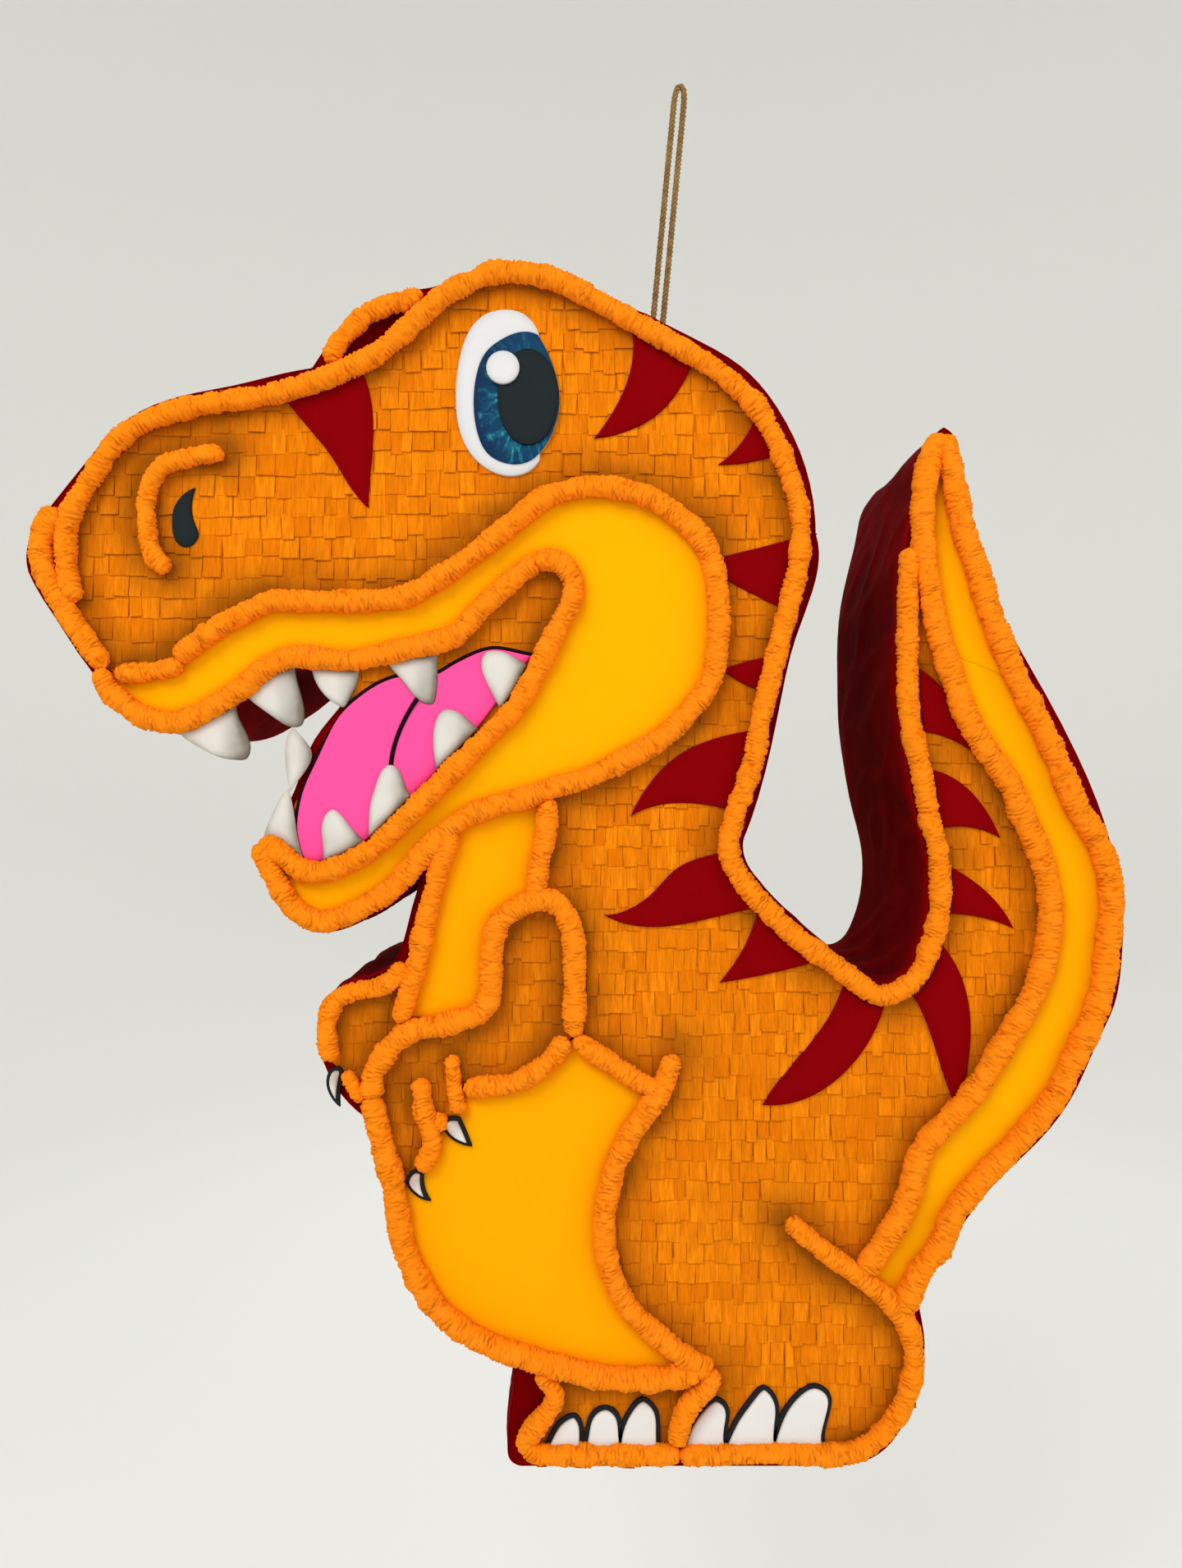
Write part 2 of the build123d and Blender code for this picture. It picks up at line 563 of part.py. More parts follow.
# ---------------------------------------------------------------- stripes
stripe_sides = [
    # forehead, crown and nape
    [[(-229, -29), (-212, -50), (-199, -66), (-183, -91), (-176, -98)],
     [(-176, -98), (-174, -68), (-173, -49), (-175, -30), (-180, -14)]],
    [[(-18, 16), (-16, -9), (-22, -29), (-39, -56)],
     [(-39, -56), (-15, -50), (1, -40), (10, -30), (22, -6)]],
    [[(60, -38), (52, -56), (36, -72)], [(36, -72), (52, -71), (74, -65)]],
    # neck
    [[(37, -128), (58, -123), (84, -116)], [(78, -160), (58, -151), (37, -139)],
     [(37, -139), (37, -128)]],
    [[(38, -196), (54, -191), (72, -187)], [(67, -211), (52, -205), (38, -196)]],
    # back
    [[(56, -233), (37, -237), (12, -248), (-3, -262), (-17, -285)],
     [(-17, -285), (-9, -281), (15, -277), (46, -282)]],
    [[(44, -306), (26, -310), (12, -316), (-3, -331), (-15, -340), (-33, -345)],
     [(-33, -345), (-9, -352), (27, -348), (62, -340)]],
    [[(60, -344), (51, -366), (37, -386)], [(37, -386), (60, -382), (96, -373)]],
    [[(113, -382), (105, -404), (85, -431), (63, -460)],
     [(63, -460), (96, -453), (116, -437), (130, -417), (138, -395)]],
    # root of the tail and the tail
    [[(154, -393), (165, -417), (176, -451), (181, -463)],
     [(181, -463), (189, -422), (188, -399), (183, -381), (169, -360)]],
    [[(154, -193), (173, -208), (183, -221), (195, -250)], [(195, -250), (179, -239), (160, -234)]],
    [[(160, -256), (179, -262), (192, -273), (207, -298)],
     [(207, -298), (190, -292), (168, -293)]],
    [[(172, -313), (189, -323), (203, -335), (215, -353)],
     [(215, -353), (198, -347), (172, -344)]],
]
stripes = [piece for sides in stripe_sides for piece in among_rolls(*sides)]
glue_on("stripes", *[(piece, sheet_foam, card_foam) for piece in stripes])

# ---------------------------------------------------------------- eye and nostril
eye_left = [(-72, 5), (-76, 14), (-83, 20), (-94, 22), (-107, 18), (-116, 7), (-121, -9),
            (-123, -28), (-121, -50), (-115, -64), (-105, -74), (-91, -79), (-80, -77),
            (-72, -69)]
iris_left = [(-73, 6), (-82, 8), (-94, 4), (-105, -5), (-110, -17), (-112, -34), (-110, -52),
             (-103, -66), (-94, -71), (-85, -72), (-74, -67)]
iris_right = [(-74, -67), (-67, -58), (-62, -46), (-60, -34), (-62, -19), (-67, -5), (-73, 6)]
pupil_middle, pupil_size = (-79.0, -32.0), (18.5, 29.0)
highlight_middle, highlight_radius = (-94.0, -15.0), 10.0
iris_shape = region(iris_left, iris_right)
eye_shape = joined(region(eye_left), iris_shape)
with BuildSketch() as pupil_shape:
    with Locations(on_sheet([pupil_middle])[0]):
        Ellipse(*on_sheet([pupil_size])[0])
    add(iris_shape, mode=Mode.INTERSECT)
with BuildSketch() as highlight_shape:
    with Locations(on_sheet([highlight_middle])[0]):
        Circle(highlight_radius)
glue_on("eye_white", (eye_shape, sheet_foam, card_foam))
glue_on("iris", (iris_shape, sheet_foam + card_foam, card_foam))
glue_on("pupil", (pupil_shape.sketch, sheet_foam + 2 * card_foam, card_foam))
glue_on("eye_highlight", (highlight_shape.sketch, sheet_foam + 3 * card_foam, card_foam))

nostril_shape = region([(-281, -86), (-289, -91), (-294, -99), (-295, -107), (-294, -115),
                        (-290, -121), (-286, -122), (-282, -120), (-279, -114), (-281, -108),
                        (-283, -101), (-283, -94), (-281, -86)])
glue_on("nostril", (nostril_shape, sheet_foam, card_foam))

# ---------------------------------------------------------------- mouth
upper_tooth_sides = [
    [[(-294, -229), (-291, -234), (-277, -244), (-267, -249), (-256, -251), (-250, -250),
      (-248, -246), (-248, -241), (-250, -235), (-255, -212)]],
    [[(-253, -208), (-249, -213), (-239, -221), (-229, -228), (-222, -231), (-217, -230),
      (-215, -224), (-218, -208), (-219, -190)]],
    [[(-211, -190), (-210, -197), (-207, -205), (-201, -213), (-194, -218), (-191, -219),
      (-188, -215), (-184, -207), (-181, -190)]],
    [[(-165, -188), (-163, -194), (-157, -201), (-150, -210), (-141, -217), (-137, -217),
      (-135, -212), (-134, -200), (-133, -181)]],
]
front_tooth_sides = [
    [[(-221, -231), (-225, -238), (-226, -248), (-225, -260), (-223, -270)],
     [(-223, -270), (-217, -262), (-210, -246), (-215, -238), (-221, -231)]],
    [[(-224, -268), (-229, -274), (-234, -284), (-238, -294), (-238, -304)],
     [(-212, -317), (-219, -294), (-221, -281), (-224, -268)]],
]
tongue_tooth_sides = [
    [[(-204, -316), (-203, -300), (-201, -284), (-197, -281), (-193, -283), (-188, -289),
      (-182, -296), (-175, -304)]],
    [[(-175, -306), (-175, -289), (-174, -277), (-170, -264), (-166, -256), (-162, -254),
      (-158, -256), (-154, -264), (-146, -275)]],
    [[(-133, -265), (-136, -245), (-136, -234), (-134, -226), (-130, -221), (-124, -221),
      (-116, -226), (-107, -234)]],
    [[(-95, -224), (-98, -216), (-105, -202), (-107, -191), (-104, -186), (-99, -185),
      (-91, -187), (-79, -194)]],
]
upper_teeth = [piece for sides in upper_tooth_sides for piece in among_rolls(*sides)]
first_front = trimmed(region(*front_tooth_sides[0]), *upper_teeth, *all_rolls)
second_front = trimmed(region(*front_tooth_sides[1]), first_front, *all_rolls)
front_teeth = [*first_front.faces(), *second_front.faces()]
tongue_teeth = [piece for sides in tongue_tooth_sides for piece in among_rolls(*sides)]

tongue_edge = [(-211, -316), (-219, -292), (-218, -281), (-214, -266), (-208, -253), (-201, -238),
               (-193, -224), (-184, -215), (-176, -209), (-165, -203), (-150, -200), (-134, -199),
               (-127, -195), (-118, -190), (-109, -186), (-100, -184), (-91, -185), (-77, -188)]
tongue_root = mouth_line[11:17]
tongue_line = 2.2         # the black edge that shows round the tongue
tongue_whole = region(tongue_edge, tongue_root)
backing_whole = joined(tongue_whole, ribbon(tongue_edge, 2 * tongue_line))
above_mouth = [*all_rolls, *upper_teeth, *front_teeth]
backing_shape = shared(trimmed(backing_whole, *above_mouth), mouth_shape)
tongue_shape = shared(trimmed(tongue_whole, *above_mouth), backing_shape)
crease_line = [(-144, -211), (-151, -222), (-158, -237), (-162, -258)]
crease_width = 2.6
crease_shape = trimmed(ribbon(crease_line, crease_width), *above_mouth, *tongue_teeth)
tongue_top = sheet_foam + 1.5 * card_foam

glue_on("upper_teeth", *[(piece, sheet_foam, tooth_foam) for piece in upper_teeth])
glue_on("lower_teeth", *[(piece, sheet_foam, tooth_foam) for piece in front_teeth],
        *[(piece, tongue_top, tooth_foam) for piece in tongue_teeth])
glue_on("tongue_outline", *[(piece, sheet_foam, card_foam / 2) for piece in backing_shape.faces()
                            if piece.area > smallest_piece],
        *[(piece, tongue_top, card_foam / 2) for piece in crease_shape.faces()])
glue_on("tongue", *[(piece, sheet_foam + card_foam / 2, card_foam)
                    for piece in tongue_shape.faces() if piece.area > smallest_piece])

# ---------------------------------------------------------------- claws, glued on last
claw_outlines = [*hand_claw_shapes, *[piece for shape in toe_claw_shapes
                                      for piece in trimmed(shape, *all_rolls).faces()]]
claw_faces = [*hand_claw_faces, *[trimmed(shape, *all_rolls) for shape in toe_claw_faces]]
glue_on("claw_outlines", *[(shape, sheet_foam, card_foam) for shape in claw_outlines])
glue_on("claws", *[(shape, sheet_foam + card_foam, card_foam) for shape in claw_faces])
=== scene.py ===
"""Looks of a hanging dinosaur pinata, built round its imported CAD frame.

A flat card box is wrapped in dark red crepe.  Its front carries paper fringe, foam panels
and gathered crepe rolls, foam features, and a doubled jute rope holds it up.
"""
import json
import logging
import math
from dataclasses import dataclass, field
from enum import Enum
from typing import Callable, Iterable, Optional

import bmesh
import bpy
import numpy as np
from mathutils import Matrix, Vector, noise
from mathutils.bvhtree import BVHTree
from mathutils.geometry import delaunay_2d_cdt
from mathutils.kdtree import KDTree


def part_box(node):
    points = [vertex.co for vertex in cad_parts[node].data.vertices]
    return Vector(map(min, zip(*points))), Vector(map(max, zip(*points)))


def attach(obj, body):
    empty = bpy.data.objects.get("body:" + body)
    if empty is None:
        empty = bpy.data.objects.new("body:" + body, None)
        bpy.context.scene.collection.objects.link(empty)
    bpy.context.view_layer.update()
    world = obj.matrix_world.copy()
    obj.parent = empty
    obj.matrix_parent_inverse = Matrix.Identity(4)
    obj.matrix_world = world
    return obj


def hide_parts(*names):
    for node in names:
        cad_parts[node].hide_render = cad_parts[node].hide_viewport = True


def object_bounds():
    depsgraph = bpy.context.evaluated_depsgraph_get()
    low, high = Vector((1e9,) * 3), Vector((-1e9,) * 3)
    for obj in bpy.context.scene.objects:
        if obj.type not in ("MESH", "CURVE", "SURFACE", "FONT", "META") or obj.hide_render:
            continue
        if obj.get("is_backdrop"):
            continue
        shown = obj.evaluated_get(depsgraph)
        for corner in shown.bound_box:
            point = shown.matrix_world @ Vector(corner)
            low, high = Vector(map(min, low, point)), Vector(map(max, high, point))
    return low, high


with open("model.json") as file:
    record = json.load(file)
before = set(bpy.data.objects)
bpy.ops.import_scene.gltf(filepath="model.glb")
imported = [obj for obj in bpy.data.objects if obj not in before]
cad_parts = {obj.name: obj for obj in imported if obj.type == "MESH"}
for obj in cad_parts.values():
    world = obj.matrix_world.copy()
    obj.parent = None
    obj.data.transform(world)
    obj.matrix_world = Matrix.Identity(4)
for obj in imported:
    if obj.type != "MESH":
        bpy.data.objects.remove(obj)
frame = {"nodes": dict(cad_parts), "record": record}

log = logging.getLogger("pinata")
MM = 0.001
CAD_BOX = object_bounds()
ROW_SHARE = 0.87             # the gap from row to row of a grid of even triangles

Point = tuple[float, float]
Line = list[Point]
Source = bpy.types.NodeSocket | float | tuple    # what a node's input takes


class Body(Enum):
    """The bodies that the pieces ride on."""

    ROPE = "rope"
    FIGURE = "pinata"
    FLAP = "flap"


class Slot(Enum):
    """The record's material slots."""

    CARD = "kraft_card"
    CREPE = "red_crepe"
    FRINGE = "orange_fringe"
    ROLL = "orange_roll"
    YELLOW = "yellow_foam"
    RED = "red_foam"
    BLACK = "black_foam"
    WHITE = "white_foam"
    BLUE = "blue_foam"
    PINK = "pink_foam"
    WOOD = "dowel_wood"
    JUTE = "jute"
    TAPE = "paper_tape"


# ---------------------------------------------------------------- the frame's own places
SWING = next(joint for joint in frame["record"]["behaviour"]["joints"]
             if joint["name"] == "pinata_swing")
DOWEL = Vector(SWING["pos_m"])
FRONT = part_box("front_cover")[0][1]      # the front cover's outer face
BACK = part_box("back_cover")[1][1]        # the back cover's outer face
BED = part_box("body_fringe")[0][1]        # the face that the rolls are glued on
VIEW_POINT = Vector((-0.061, -0.775, -0.4735))

# where the claws and the yellow of the tail are wider and longer than in the CAD
FOOT_TOP = CAD_BOX[0][2] + 80 * MM
FOOT_SPLIT = -35 * MM
FORE_SHIFT = -2 * MM
TOE_WIDER = 1.24
TAIL_FROM = DOWEL.z - 540 * MM
TAIL_RUN = Vector((0.2, 0.0, 0.7))


def on_sheet(point: Point, depth: float) -> Vector:
    """Place a point of the flat sheet, in millimetres from the dowel, at a depth in metres."""
    return Vector((DOWEL.x + point[0] * MM, depth, DOWEL.z + point[1] * MM))


# ---------------------------------------------------------------- routes of the gathered rolls
SNOUT = [(-356, -155), (-360, -138), (-361, -113), (-357, -98), (-348, -83), (-331, -58),
         (-311, -44), (-281, -35), (-241, -29), (-211, -21), (-191, -13), (-171, -3),
         (-151, 14), (-131, 32), (-111, 42), (-101, 46), (-81, 46), (-61, 41), (-41, 31),
         (-11, 14), (19, -3), (39, -16), (59, -35), (71, -55), (78, -72), (85, -93),
         (87, -113), (85, -134), (80, -155), (70, -195), (62, -228), (59, -247), (52, -270),
         (49, -280)]
BACK_LINE = [(50, -270), (46, -288), (43, -299), (44, -311), (49, -321), (60, -335), (82, -357),
             (109, -377), (129, -392), (140, -394), (152, -388), (160, -379), (165, -366),
             (170, -350), (172, -332), (170, -303), (166, -290), (164, -281)]
GAP = [(165, -284), (161, -262), (158, -248), (154, -230), (152, -210), (152, -191),
       (152, -153), (153, -134), (154, -122)]
OUTER_SNOUT = [(-366, -98), (-373, -108), (-376, -119), (-375, -132), (-369, -146),
               (-359, -163), (-347, -181), (-337, -194)]
LOWER_SNOUT = [(-331, -198), (-322, -198), (-310, -197), (-298, -195), (-290, -191)]
BROW = [(-200, -9), (-197, 0), (-188, 11), (-178, 20), (-166, 26), (-153, 29), (-144, 33)]
NOSTRIL = [(-265, -64), (-278, -65), (-291, -68), (-301, -71), (-307, -78), (-311, -88),
           (-312, -100), (-311, -113), (-309, -123), (-305, -130), (-298, -135)]
CHEEK = [(-294, -189), (-281, -179), (-267, -169), (-253, -162), (-236, -154), (-219, -154),
         (-184, -154), (-167, -153), (-151, -150), (-131, -138), (-111, -124), (-91, -108),
         (-71, -92), (-61, -88), (-41, -84), (-21, -86), (-1, -93), (19, -108), (27, -117),
         (33, -130), (36, -148), (37, -166), (34, -196), (27, -211), (13, -228), (-1, -240),
         (-21, -251), (-41, -261), (-61, -267), (-81, -274), (-101, -279), (-121, -288),
         (-141, -306), (-161, -328), (-181, -341), (-201, -349), (-211, -348), (-221, -342),
         (-228, -333), (-235, -320), (-240, -310), (-243, -301)]
LIP = [(-341, -195), (-335, -208), (-325, -217), (-315, -224), (-305, -227), (-294, -228),
       (-284, -225), (-274, -220), (-253, -207), (-246, -200), (-236, -193), (-226, -189),
       (-215, -188), (-195, -190), (-184, -190), (-174, -188), (-153, -183), (-131, -178),
       (-121, -173), (-111, -162), (-101, -152), (-81, -135), (-74, -130)]
MOUTH = [(-76, -131), (-65, -129), (-56, -134), (-52, -143), (-53, -154), (-58, -164),
         (-67, -182), (-77, -202), (-88, -220), (-101, -233), (-121, -253), (-141, -273),
         (-158, -290), (-176, -306), (-193, -315), (-202, -318), (-210, -319), (-219, -317),
         (-227, -310), (-235, -304), (-242, -299)]
THROAT = [(-125, -295), (-130, -306), (-134, -317), (-138, -334), (-143, -354), (-147, -375),
          (-151, -388), (-154, -399), (-158, -411)]
CHEST = [(-67, -274), (-68, -291), (-70, -303), (-73, -318), (-74, -335)]
FAR_ARM = [(-155, -375), (-162, -385), (-173, -390), (-182, -391), (-191, -394), (-197, -398),
           (-201, -406), (-202, -416), (-201, -427), (-199, -434)]
FAR_FINGER = [(-191, -441), (-184, -452), (-180, -459)]
NEAR_ARM = [(-52, -419), (-51, -402), (-51, -374), (-52, -359), (-55, -348), (-60, -340),
            (-69, -336), (-80, -338), (-89, -343), (-97, -350), (-101, -363), (-102, -377),
            (-102, -390), (-105, -400), (-112, -407), (-123, -410), (-135, -413),
            (-148, -415), (-157, -420), (-164, -427), (-169, -434), (-174, -443),
            (-175, -458)]
HAND = [(-56, -420), (-66, -434), (-75, -441), (-86, -447), (-98, -449), (-109, -450),
        (-118, -452)]
FIRST_FINGER = [(-126, -431), (-125, -441), (-124, -452), (-121, -466)]
SECOND_FINGER = [(-146, -445), (-144, -454), (-143, -465), (-139, -475), (-138, -486),
                 (-142, -495), (-147, -500)]
FINGER_WEB = [(-135, -466), (-133, -472), (-131, -477)]
BELLY_FRONT = [(-175, -455), (-173, -466), (-170, -477), (-167, -490), (-163, -503), (-160, -520),
               (-158, -532), (-156, -545), (-152, -556), (-146, -568), (-136, -584), (-121, -597),
               (-109, -604), (-96, -610), (-83, -614), (-71, -618), (-56, -622), (-39, -626),
               (-21, -628), (-2, -628), (13, -626), (26, -624)]
HAND_TO_BACK = [(-51, -420), (-39, -429), (-28, -436), (-18, -443), (-9, -448), (0, -452)]
BELLY_BACK = [(10, -431), (6, -441), (2, -452), (-3, -459), (-9, -468), (-16, -477),
              (-21, -488), (-26, -497), (-29, -509), (-32, -523), (-33, -538), (-32, -550),
              (-28, -565), (-19, -583), (-8, -595), (4, -605), (15, -614), (26, -620),
              (32, -624)]
TOES = [(-73, -624), (-65, -633), (-63, -640), (-69, -650), (-77, -660), (-81, -667),
        (-75, -673), (-63, -674), (-44, -674), (-25, -674), (-6, -674), (13, -674)]
ANKLE = [(34, -622), (30, -633), (22, -640), (16, -649), (13, -658), (11, -669)]
LEG = [(79, -531), (91, -542), (105, -553), (118, -562), (130, -571), (140, -580),
       (149, -591), (154, -602), (156, -618), (153, -633), (149, -644), (141, -656),
       (131, -666), (120, -672), (105, -674), (70, -673), (32, -674), (13, -674)]
TAIL_INNER = [(173, -53), (166, -66), (162, -86), (161, -105), (162, -124), (165, -143),
              (168, -162), (173, -181), (179, -200), (186, -220), (196, -239), (206, -254),
              (215, -267), (221, -283), (229, -300), (235, -316), (238, -333), (239, -346),
              (237, -364), (233, -381), (226, -398), (216, -415), (205, -433), (192, -453),
              (178, -469), (165, -482), (158, -495), (154, -511), (147, -529), (138, -544),
              (129, -557), (125, -564)]
TAIL_OUTER = [(175, -53), (179, -76), (183, -95), (187, -114), (193, -130), (202, -160),
              (208, -175), (214, -191), (221, -206), (229, -221), (242, -248), (255, -279),
              (264, -293), (271, -308), (275, -323), (276, -342), (274, -362), (272, -381),
              (268, -399), (261, -417), (252, -435), (245, -451), (236, -464), (225, -477),
              (212, -491), (198, -505), (187, -518), (178, -531), (172, -547), (160, -562),
              (151, -581), (147, -589)]

# CAD node, then the width in millimetres and the route of each roll in it
ROLL_PLAN: dict[str, list[tuple[float, Line]]] = {
    "crown_roll": [(12.5, SNOUT)],
    "back_roll": [(12.5, BACK_LINE), (12.5, GAP)],
    "mouth_roll": [(13.0, MOUTH)],
    "lip_roll": [(13.0, LIP)],
    "snout_rolls": [(13.5, OUTER_SNOUT), (11.0, LOWER_SNOUT), (11.0, NOSTRIL), (11.5, BROW)],
    "cheek_roll": [(13.0, CHEEK)],
    "arm_rolls": [(13.5, NEAR_ARM), (12.0, HAND), (9.5, FIRST_FINGER), (12.0, SECOND_FINGER),
                  (9.0, FINGER_WEB), (11.5, FAR_ARM), (9.0, FAR_FINGER)],
    "neck_rolls": [(12.0, THROAT), (12.5, CHEST)],
    "belly_rolls": [(14.0, BELLY_FRONT), (12.0, HAND_TO_BACK), (13.0, BELLY_BACK)],
    "foot_rolls": [(12.0, LEG), (12.0, TOES), (12.0, ANKLE)],
    "tail_rolls": [(14.0, TAIL_OUTER), (14.0, TAIL_INNER)],
}


# ---------------------------------------------------------------- colour and nodes
def paint(hex_code: str) -> tuple[float, float, float, float]:
    """Turn an sRGB hex colour into the linear one that a shader takes.

    Args:
        hex_code: six hex digits after a hash.

    Returns:
        The colour in linear light, with full alpha.
    """
    levels = [int(hex_code[i:i + 2], 16) / 255 for i in (1, 3, 5)]
    linear = [v / 12.92 if v <= 0.04045 else ((v + 0.055) / 1.055) ** 2.4 for v in levels]
    return (*linear, 1.0)


def add_node(tree: bpy.types.NodeTree, kind: str, settings: Optional[dict] = None,
             links: Optional[dict] = None) -> bpy.types.Node:
    """Add one node with its settings and its inputs.

    Args:
        tree: the tree that the node joins.
        kind: the node's type.
        settings: values of the node's own properties.
        links: for each input, by name or number, a socket to link or a value to set.

    Returns:
        The new node.
    """
    node = tree.nodes.new(kind)
    for name, value in (settings or {}).items():
        setattr(node, name, value)
    for key, source in (links or {}).items():
        if isinstance(source, bpy.types.NodeSocket):
            tree.links.new(source, node.inputs[key])
        else:
            node.inputs[key].default_value = source
    return node


def reckoner(tree: bpy.types.NodeTree) -> Callable[..., bpy.types.NodeSocket]:
    """Give a function that does one sum on two values in a tree.

    Args:
        tree: the tree that the sums join.

    Returns:
        A function of the operation and its two values, which returns the result's socket.
    """
    def reckon(operation: str, first: Source, second: Source = 0.0) -> bpy.types.NodeSocket:
        """One sum."""
        return add_node(tree, "ShaderNodeMath", {"operation": operation},
                        {0: first, 1: second}).outputs[0]
    return reckon


class Shade:
    """A material that is being wired: its tree, its shader and short ways to its patterns."""

    def __init__(self, name: str, roughness: float, sheen: float = 0.0,
                 specular: float = 0.5) -> None:
        """Start a material with the values that are the same all over it.

        Args:
            name: the material's name.
            roughness: from 0, a mirror, to 1, chalk.
            sheen: the share of light that its fuzz sends back.
            specular: the gloss, 0.5 for common plastics and papers.
        """
        self.material = bpy.data.materials.new(name)
        self.material.use_nodes = True
        self.tree = self.material.node_tree
        self.shader = self.tree.nodes["Principled BSDF"]
        self.shader.inputs["Roughness"].default_value = roughness
        self.shader.inputs["Specular IOR Level"].default_value = specular
        self.shader.inputs["Sheen Weight"].default_value = sheen
        self.place = add_node(self.tree, "ShaderNodeTexCoord").outputs["Object"]
        self.maths = reckoner(self.tree)

    def mapped(self, scale: tuple[float, float, float],
               turn: float = 0.0) -> bpy.types.NodeSocket:
        """Object coordinates, stretched and turned about the depth axis.

        Args:
            scale: features to the metre along x, y and z.
            turn: the turn in radians.

        Returns:
            The coordinates' socket.
        """
        node = add_node(self.tree, "ShaderNodeMapping",
                        links={"Vector": self.place, "Scale": scale})
        node.inputs["Rotation"].default_value = (0.0, turn, 0.0)
        return node.outputs["Vector"]

    def grain(self, size_mm: float, detail: float = 2.0,
              stretch: tuple[float, float, float] = (1.0, 1.0, 1.0), turn: float = 0.0,
              rough: float = 0.5) -> bpy.types.NodeSocket:
        """A noise whose features are about as large as size_mm, longer where stretch is small.

        Args:
            size_mm: the features' size in millimetres.
            detail: how many finer layers lie on it.
            stretch: for each axis, 1 for the full count of features and less for longer ones.
            turn: its turn about the depth axis in radians.
            rough: how strong the finer layers are.

        Returns:
            The noise's socket, from 0 to 1.
        """
        scale = 1.0 / (size_mm * MM)
        vector = self.mapped(tuple(s * scale for s in stretch), turn)
        return add_node(self.tree, "ShaderNodeTexNoise", links={
            "Vector": vector, "Scale": 1.0, "Detail": detail, "Roughness": rough}).outputs["Fac"]

    def attribute(self, name: str) -> bpy.types.NodeSocket:
        """The piece's own attribute as a number."""
        return add_node(self.tree, "ShaderNodeAttribute", {"attribute_name": name}).outputs["Fac"]

    def ranged(self, value: Source, low: float, high: float, start: float = 0.0,
               end: float = 1.0) -> bpy.types.NodeSocket:
        """Fit a value from low..high to start..end, and stop there.

        Args:
            value: the value to fit.
            low: the value that becomes start.
            high: the value that becomes end.
            start: the result at low and under it.
            end: the result at high and over it.

        Returns:
            The fitted value's socket.
        """
        return add_node(self.tree, "ShaderNodeMapRange", {"clamp": True}, {
            "Value": value, "From Min": low, "From Max": high, "To Min": start,
            "To Max": end}).outputs["Result"]

    def mixed(self, amount: Source, first: Source, second: Source,
              blend: str = "MIX") -> bpy.types.NodeSocket:
        """Mix two colours by an amount."""
        return add_node(self.tree, "ShaderNodeMix", {"data_type": "RGBA", "blend_type": blend},
                        {0: amount, 6: first, 7: second}).outputs[2]

    def laid(self, base: Source, hex_code: str, value: Source, low: float, high: float,
             most: float) -> bpy.types.NodeSocket:
        """Lay a colour over the base where a value lies high in its range, most at the top."""
        return self.mixed(self.ranged(value, low, high, 0.0, most), base, paint(hex_code))

    def colour(self, source: Source) -> None:
        """Set or link the base colour.

        Args:
            source: a linear colour, or the socket that gives one.
        """
        if isinstance(source, bpy.types.NodeSocket):
            self.tree.links.new(source, self.shader.inputs["Base Color"])
        else:
            self.shader.inputs["Base Color"].default_value = source

    def bump(self, *layers: tuple[bpy.types.NodeSocket, float]) -> None:
        """Stack bumps on one another.

        Args:
            *layers: for each, a height from 0 to 1 and how tall 1 stands, in millimetres.
        """
        normal = None
        for height, tall in layers:
            links = {"Height": height, "Strength": 1.0, "Distance": tall * MM}
            if normal is not None:
                links["Normal"] = normal
            normal = add_node(self.tree, "ShaderNodeBump", links=links).outputs["Normal"]
        self.tree.links.new(normal, self.shader.inputs["Normal"])


# ---------------------------------------------------------------- finishes
@dataclass(frozen=True)
class CrepeFringe:
    """Crepe paper cut to tabs: fine upright crinkles, an airbrush along the rolls, and painted
    shade on the tabs' edges.
    """

    light: str = "#FF900E"
    deep: str = "#E87806"
    darker_tone: str = "#94520A"
    crinkle: float = 0.9       # millimetres between crinkles

    def make(self) -> bpy.types.Material:
        """Build the material.

        Returns:
            The material.
        """
        shade = Shade("crepe_paper_fringe", roughness=0.95, specular=0.02)
        tone = shade.attribute("tone")
        upright = shade.grain(self.crinkle, 3.0, (1.0, 1.0, 0.07))
        streak = shade.grain(2.2, 2.0, (1.0, 1.0, 0.12))
        base = shade.mixed(shade.ranged(tone, 0.0, 1.0), paint(self.deep), paint(self.light))
        base = shade.laid(base, "#CE6A06", streak, 0.35, 0.7, 0.6)
        base = shade.laid(base, "#B45A06", upright, 0.45, 0.75, 0.5)
        cloud = shade.grain(26.0, 2.0)
        reach = shade.maths("MULTIPLY", shade.attribute("near_roll"),
                            shade.ranged(cloud, 0.3, 0.7, 0.55, 1.25))
        base = shade.laid(base, self.darker_tone, reach, 0.0, 1.0, 0.95)
        # painted shade on the tabs' edges and backs, where they meet and overlap
        base = shade.laid(base, "#A84C06", shade.attribute("rim"), 0.0, 1.0, 0.5)
        shade.colour(base)
        shade.bump((upright, 0.5), (streak, 0.5))
        return shade.material


@dataclass(frozen=True)
class GatheredCrepe:
    """Crepe paper gathered on a cord: bright puffs, and painted shade in the gathers."""

    puff: str = "#FF8A12"
    # painted shade: the colour laid in the gathers, where they fold in
    crease: str = "#D45C02"

    def make(self) -> bpy.types.Material:
        """Build the material.

        Returns:
            The material.
        """
        shade = Shade("gathered_crepe_paper", roughness=0.95, specular=0.03)
        crease = shade.attribute("crease")
        # painted shade in the gathers, by how deep each one folds in
        base = shade.mixed(shade.ranged(crease, 0.3, 1.0, 0.0, 0.8), paint(self.puff),
                           paint(self.crease))
        patch = shade.grain(9.0, 2.0)
        base = shade.laid(base, "#FF9C26", patch, 0.4, 0.75, 0.35)
        fine = shade.grain(0.8, 3.0)
        base = shade.laid(base, "#E87800", fine, 0.5, 0.8, 0.3)
        shade.colour(base)
        shade.bump((fine, 0.4))
        return shade.material


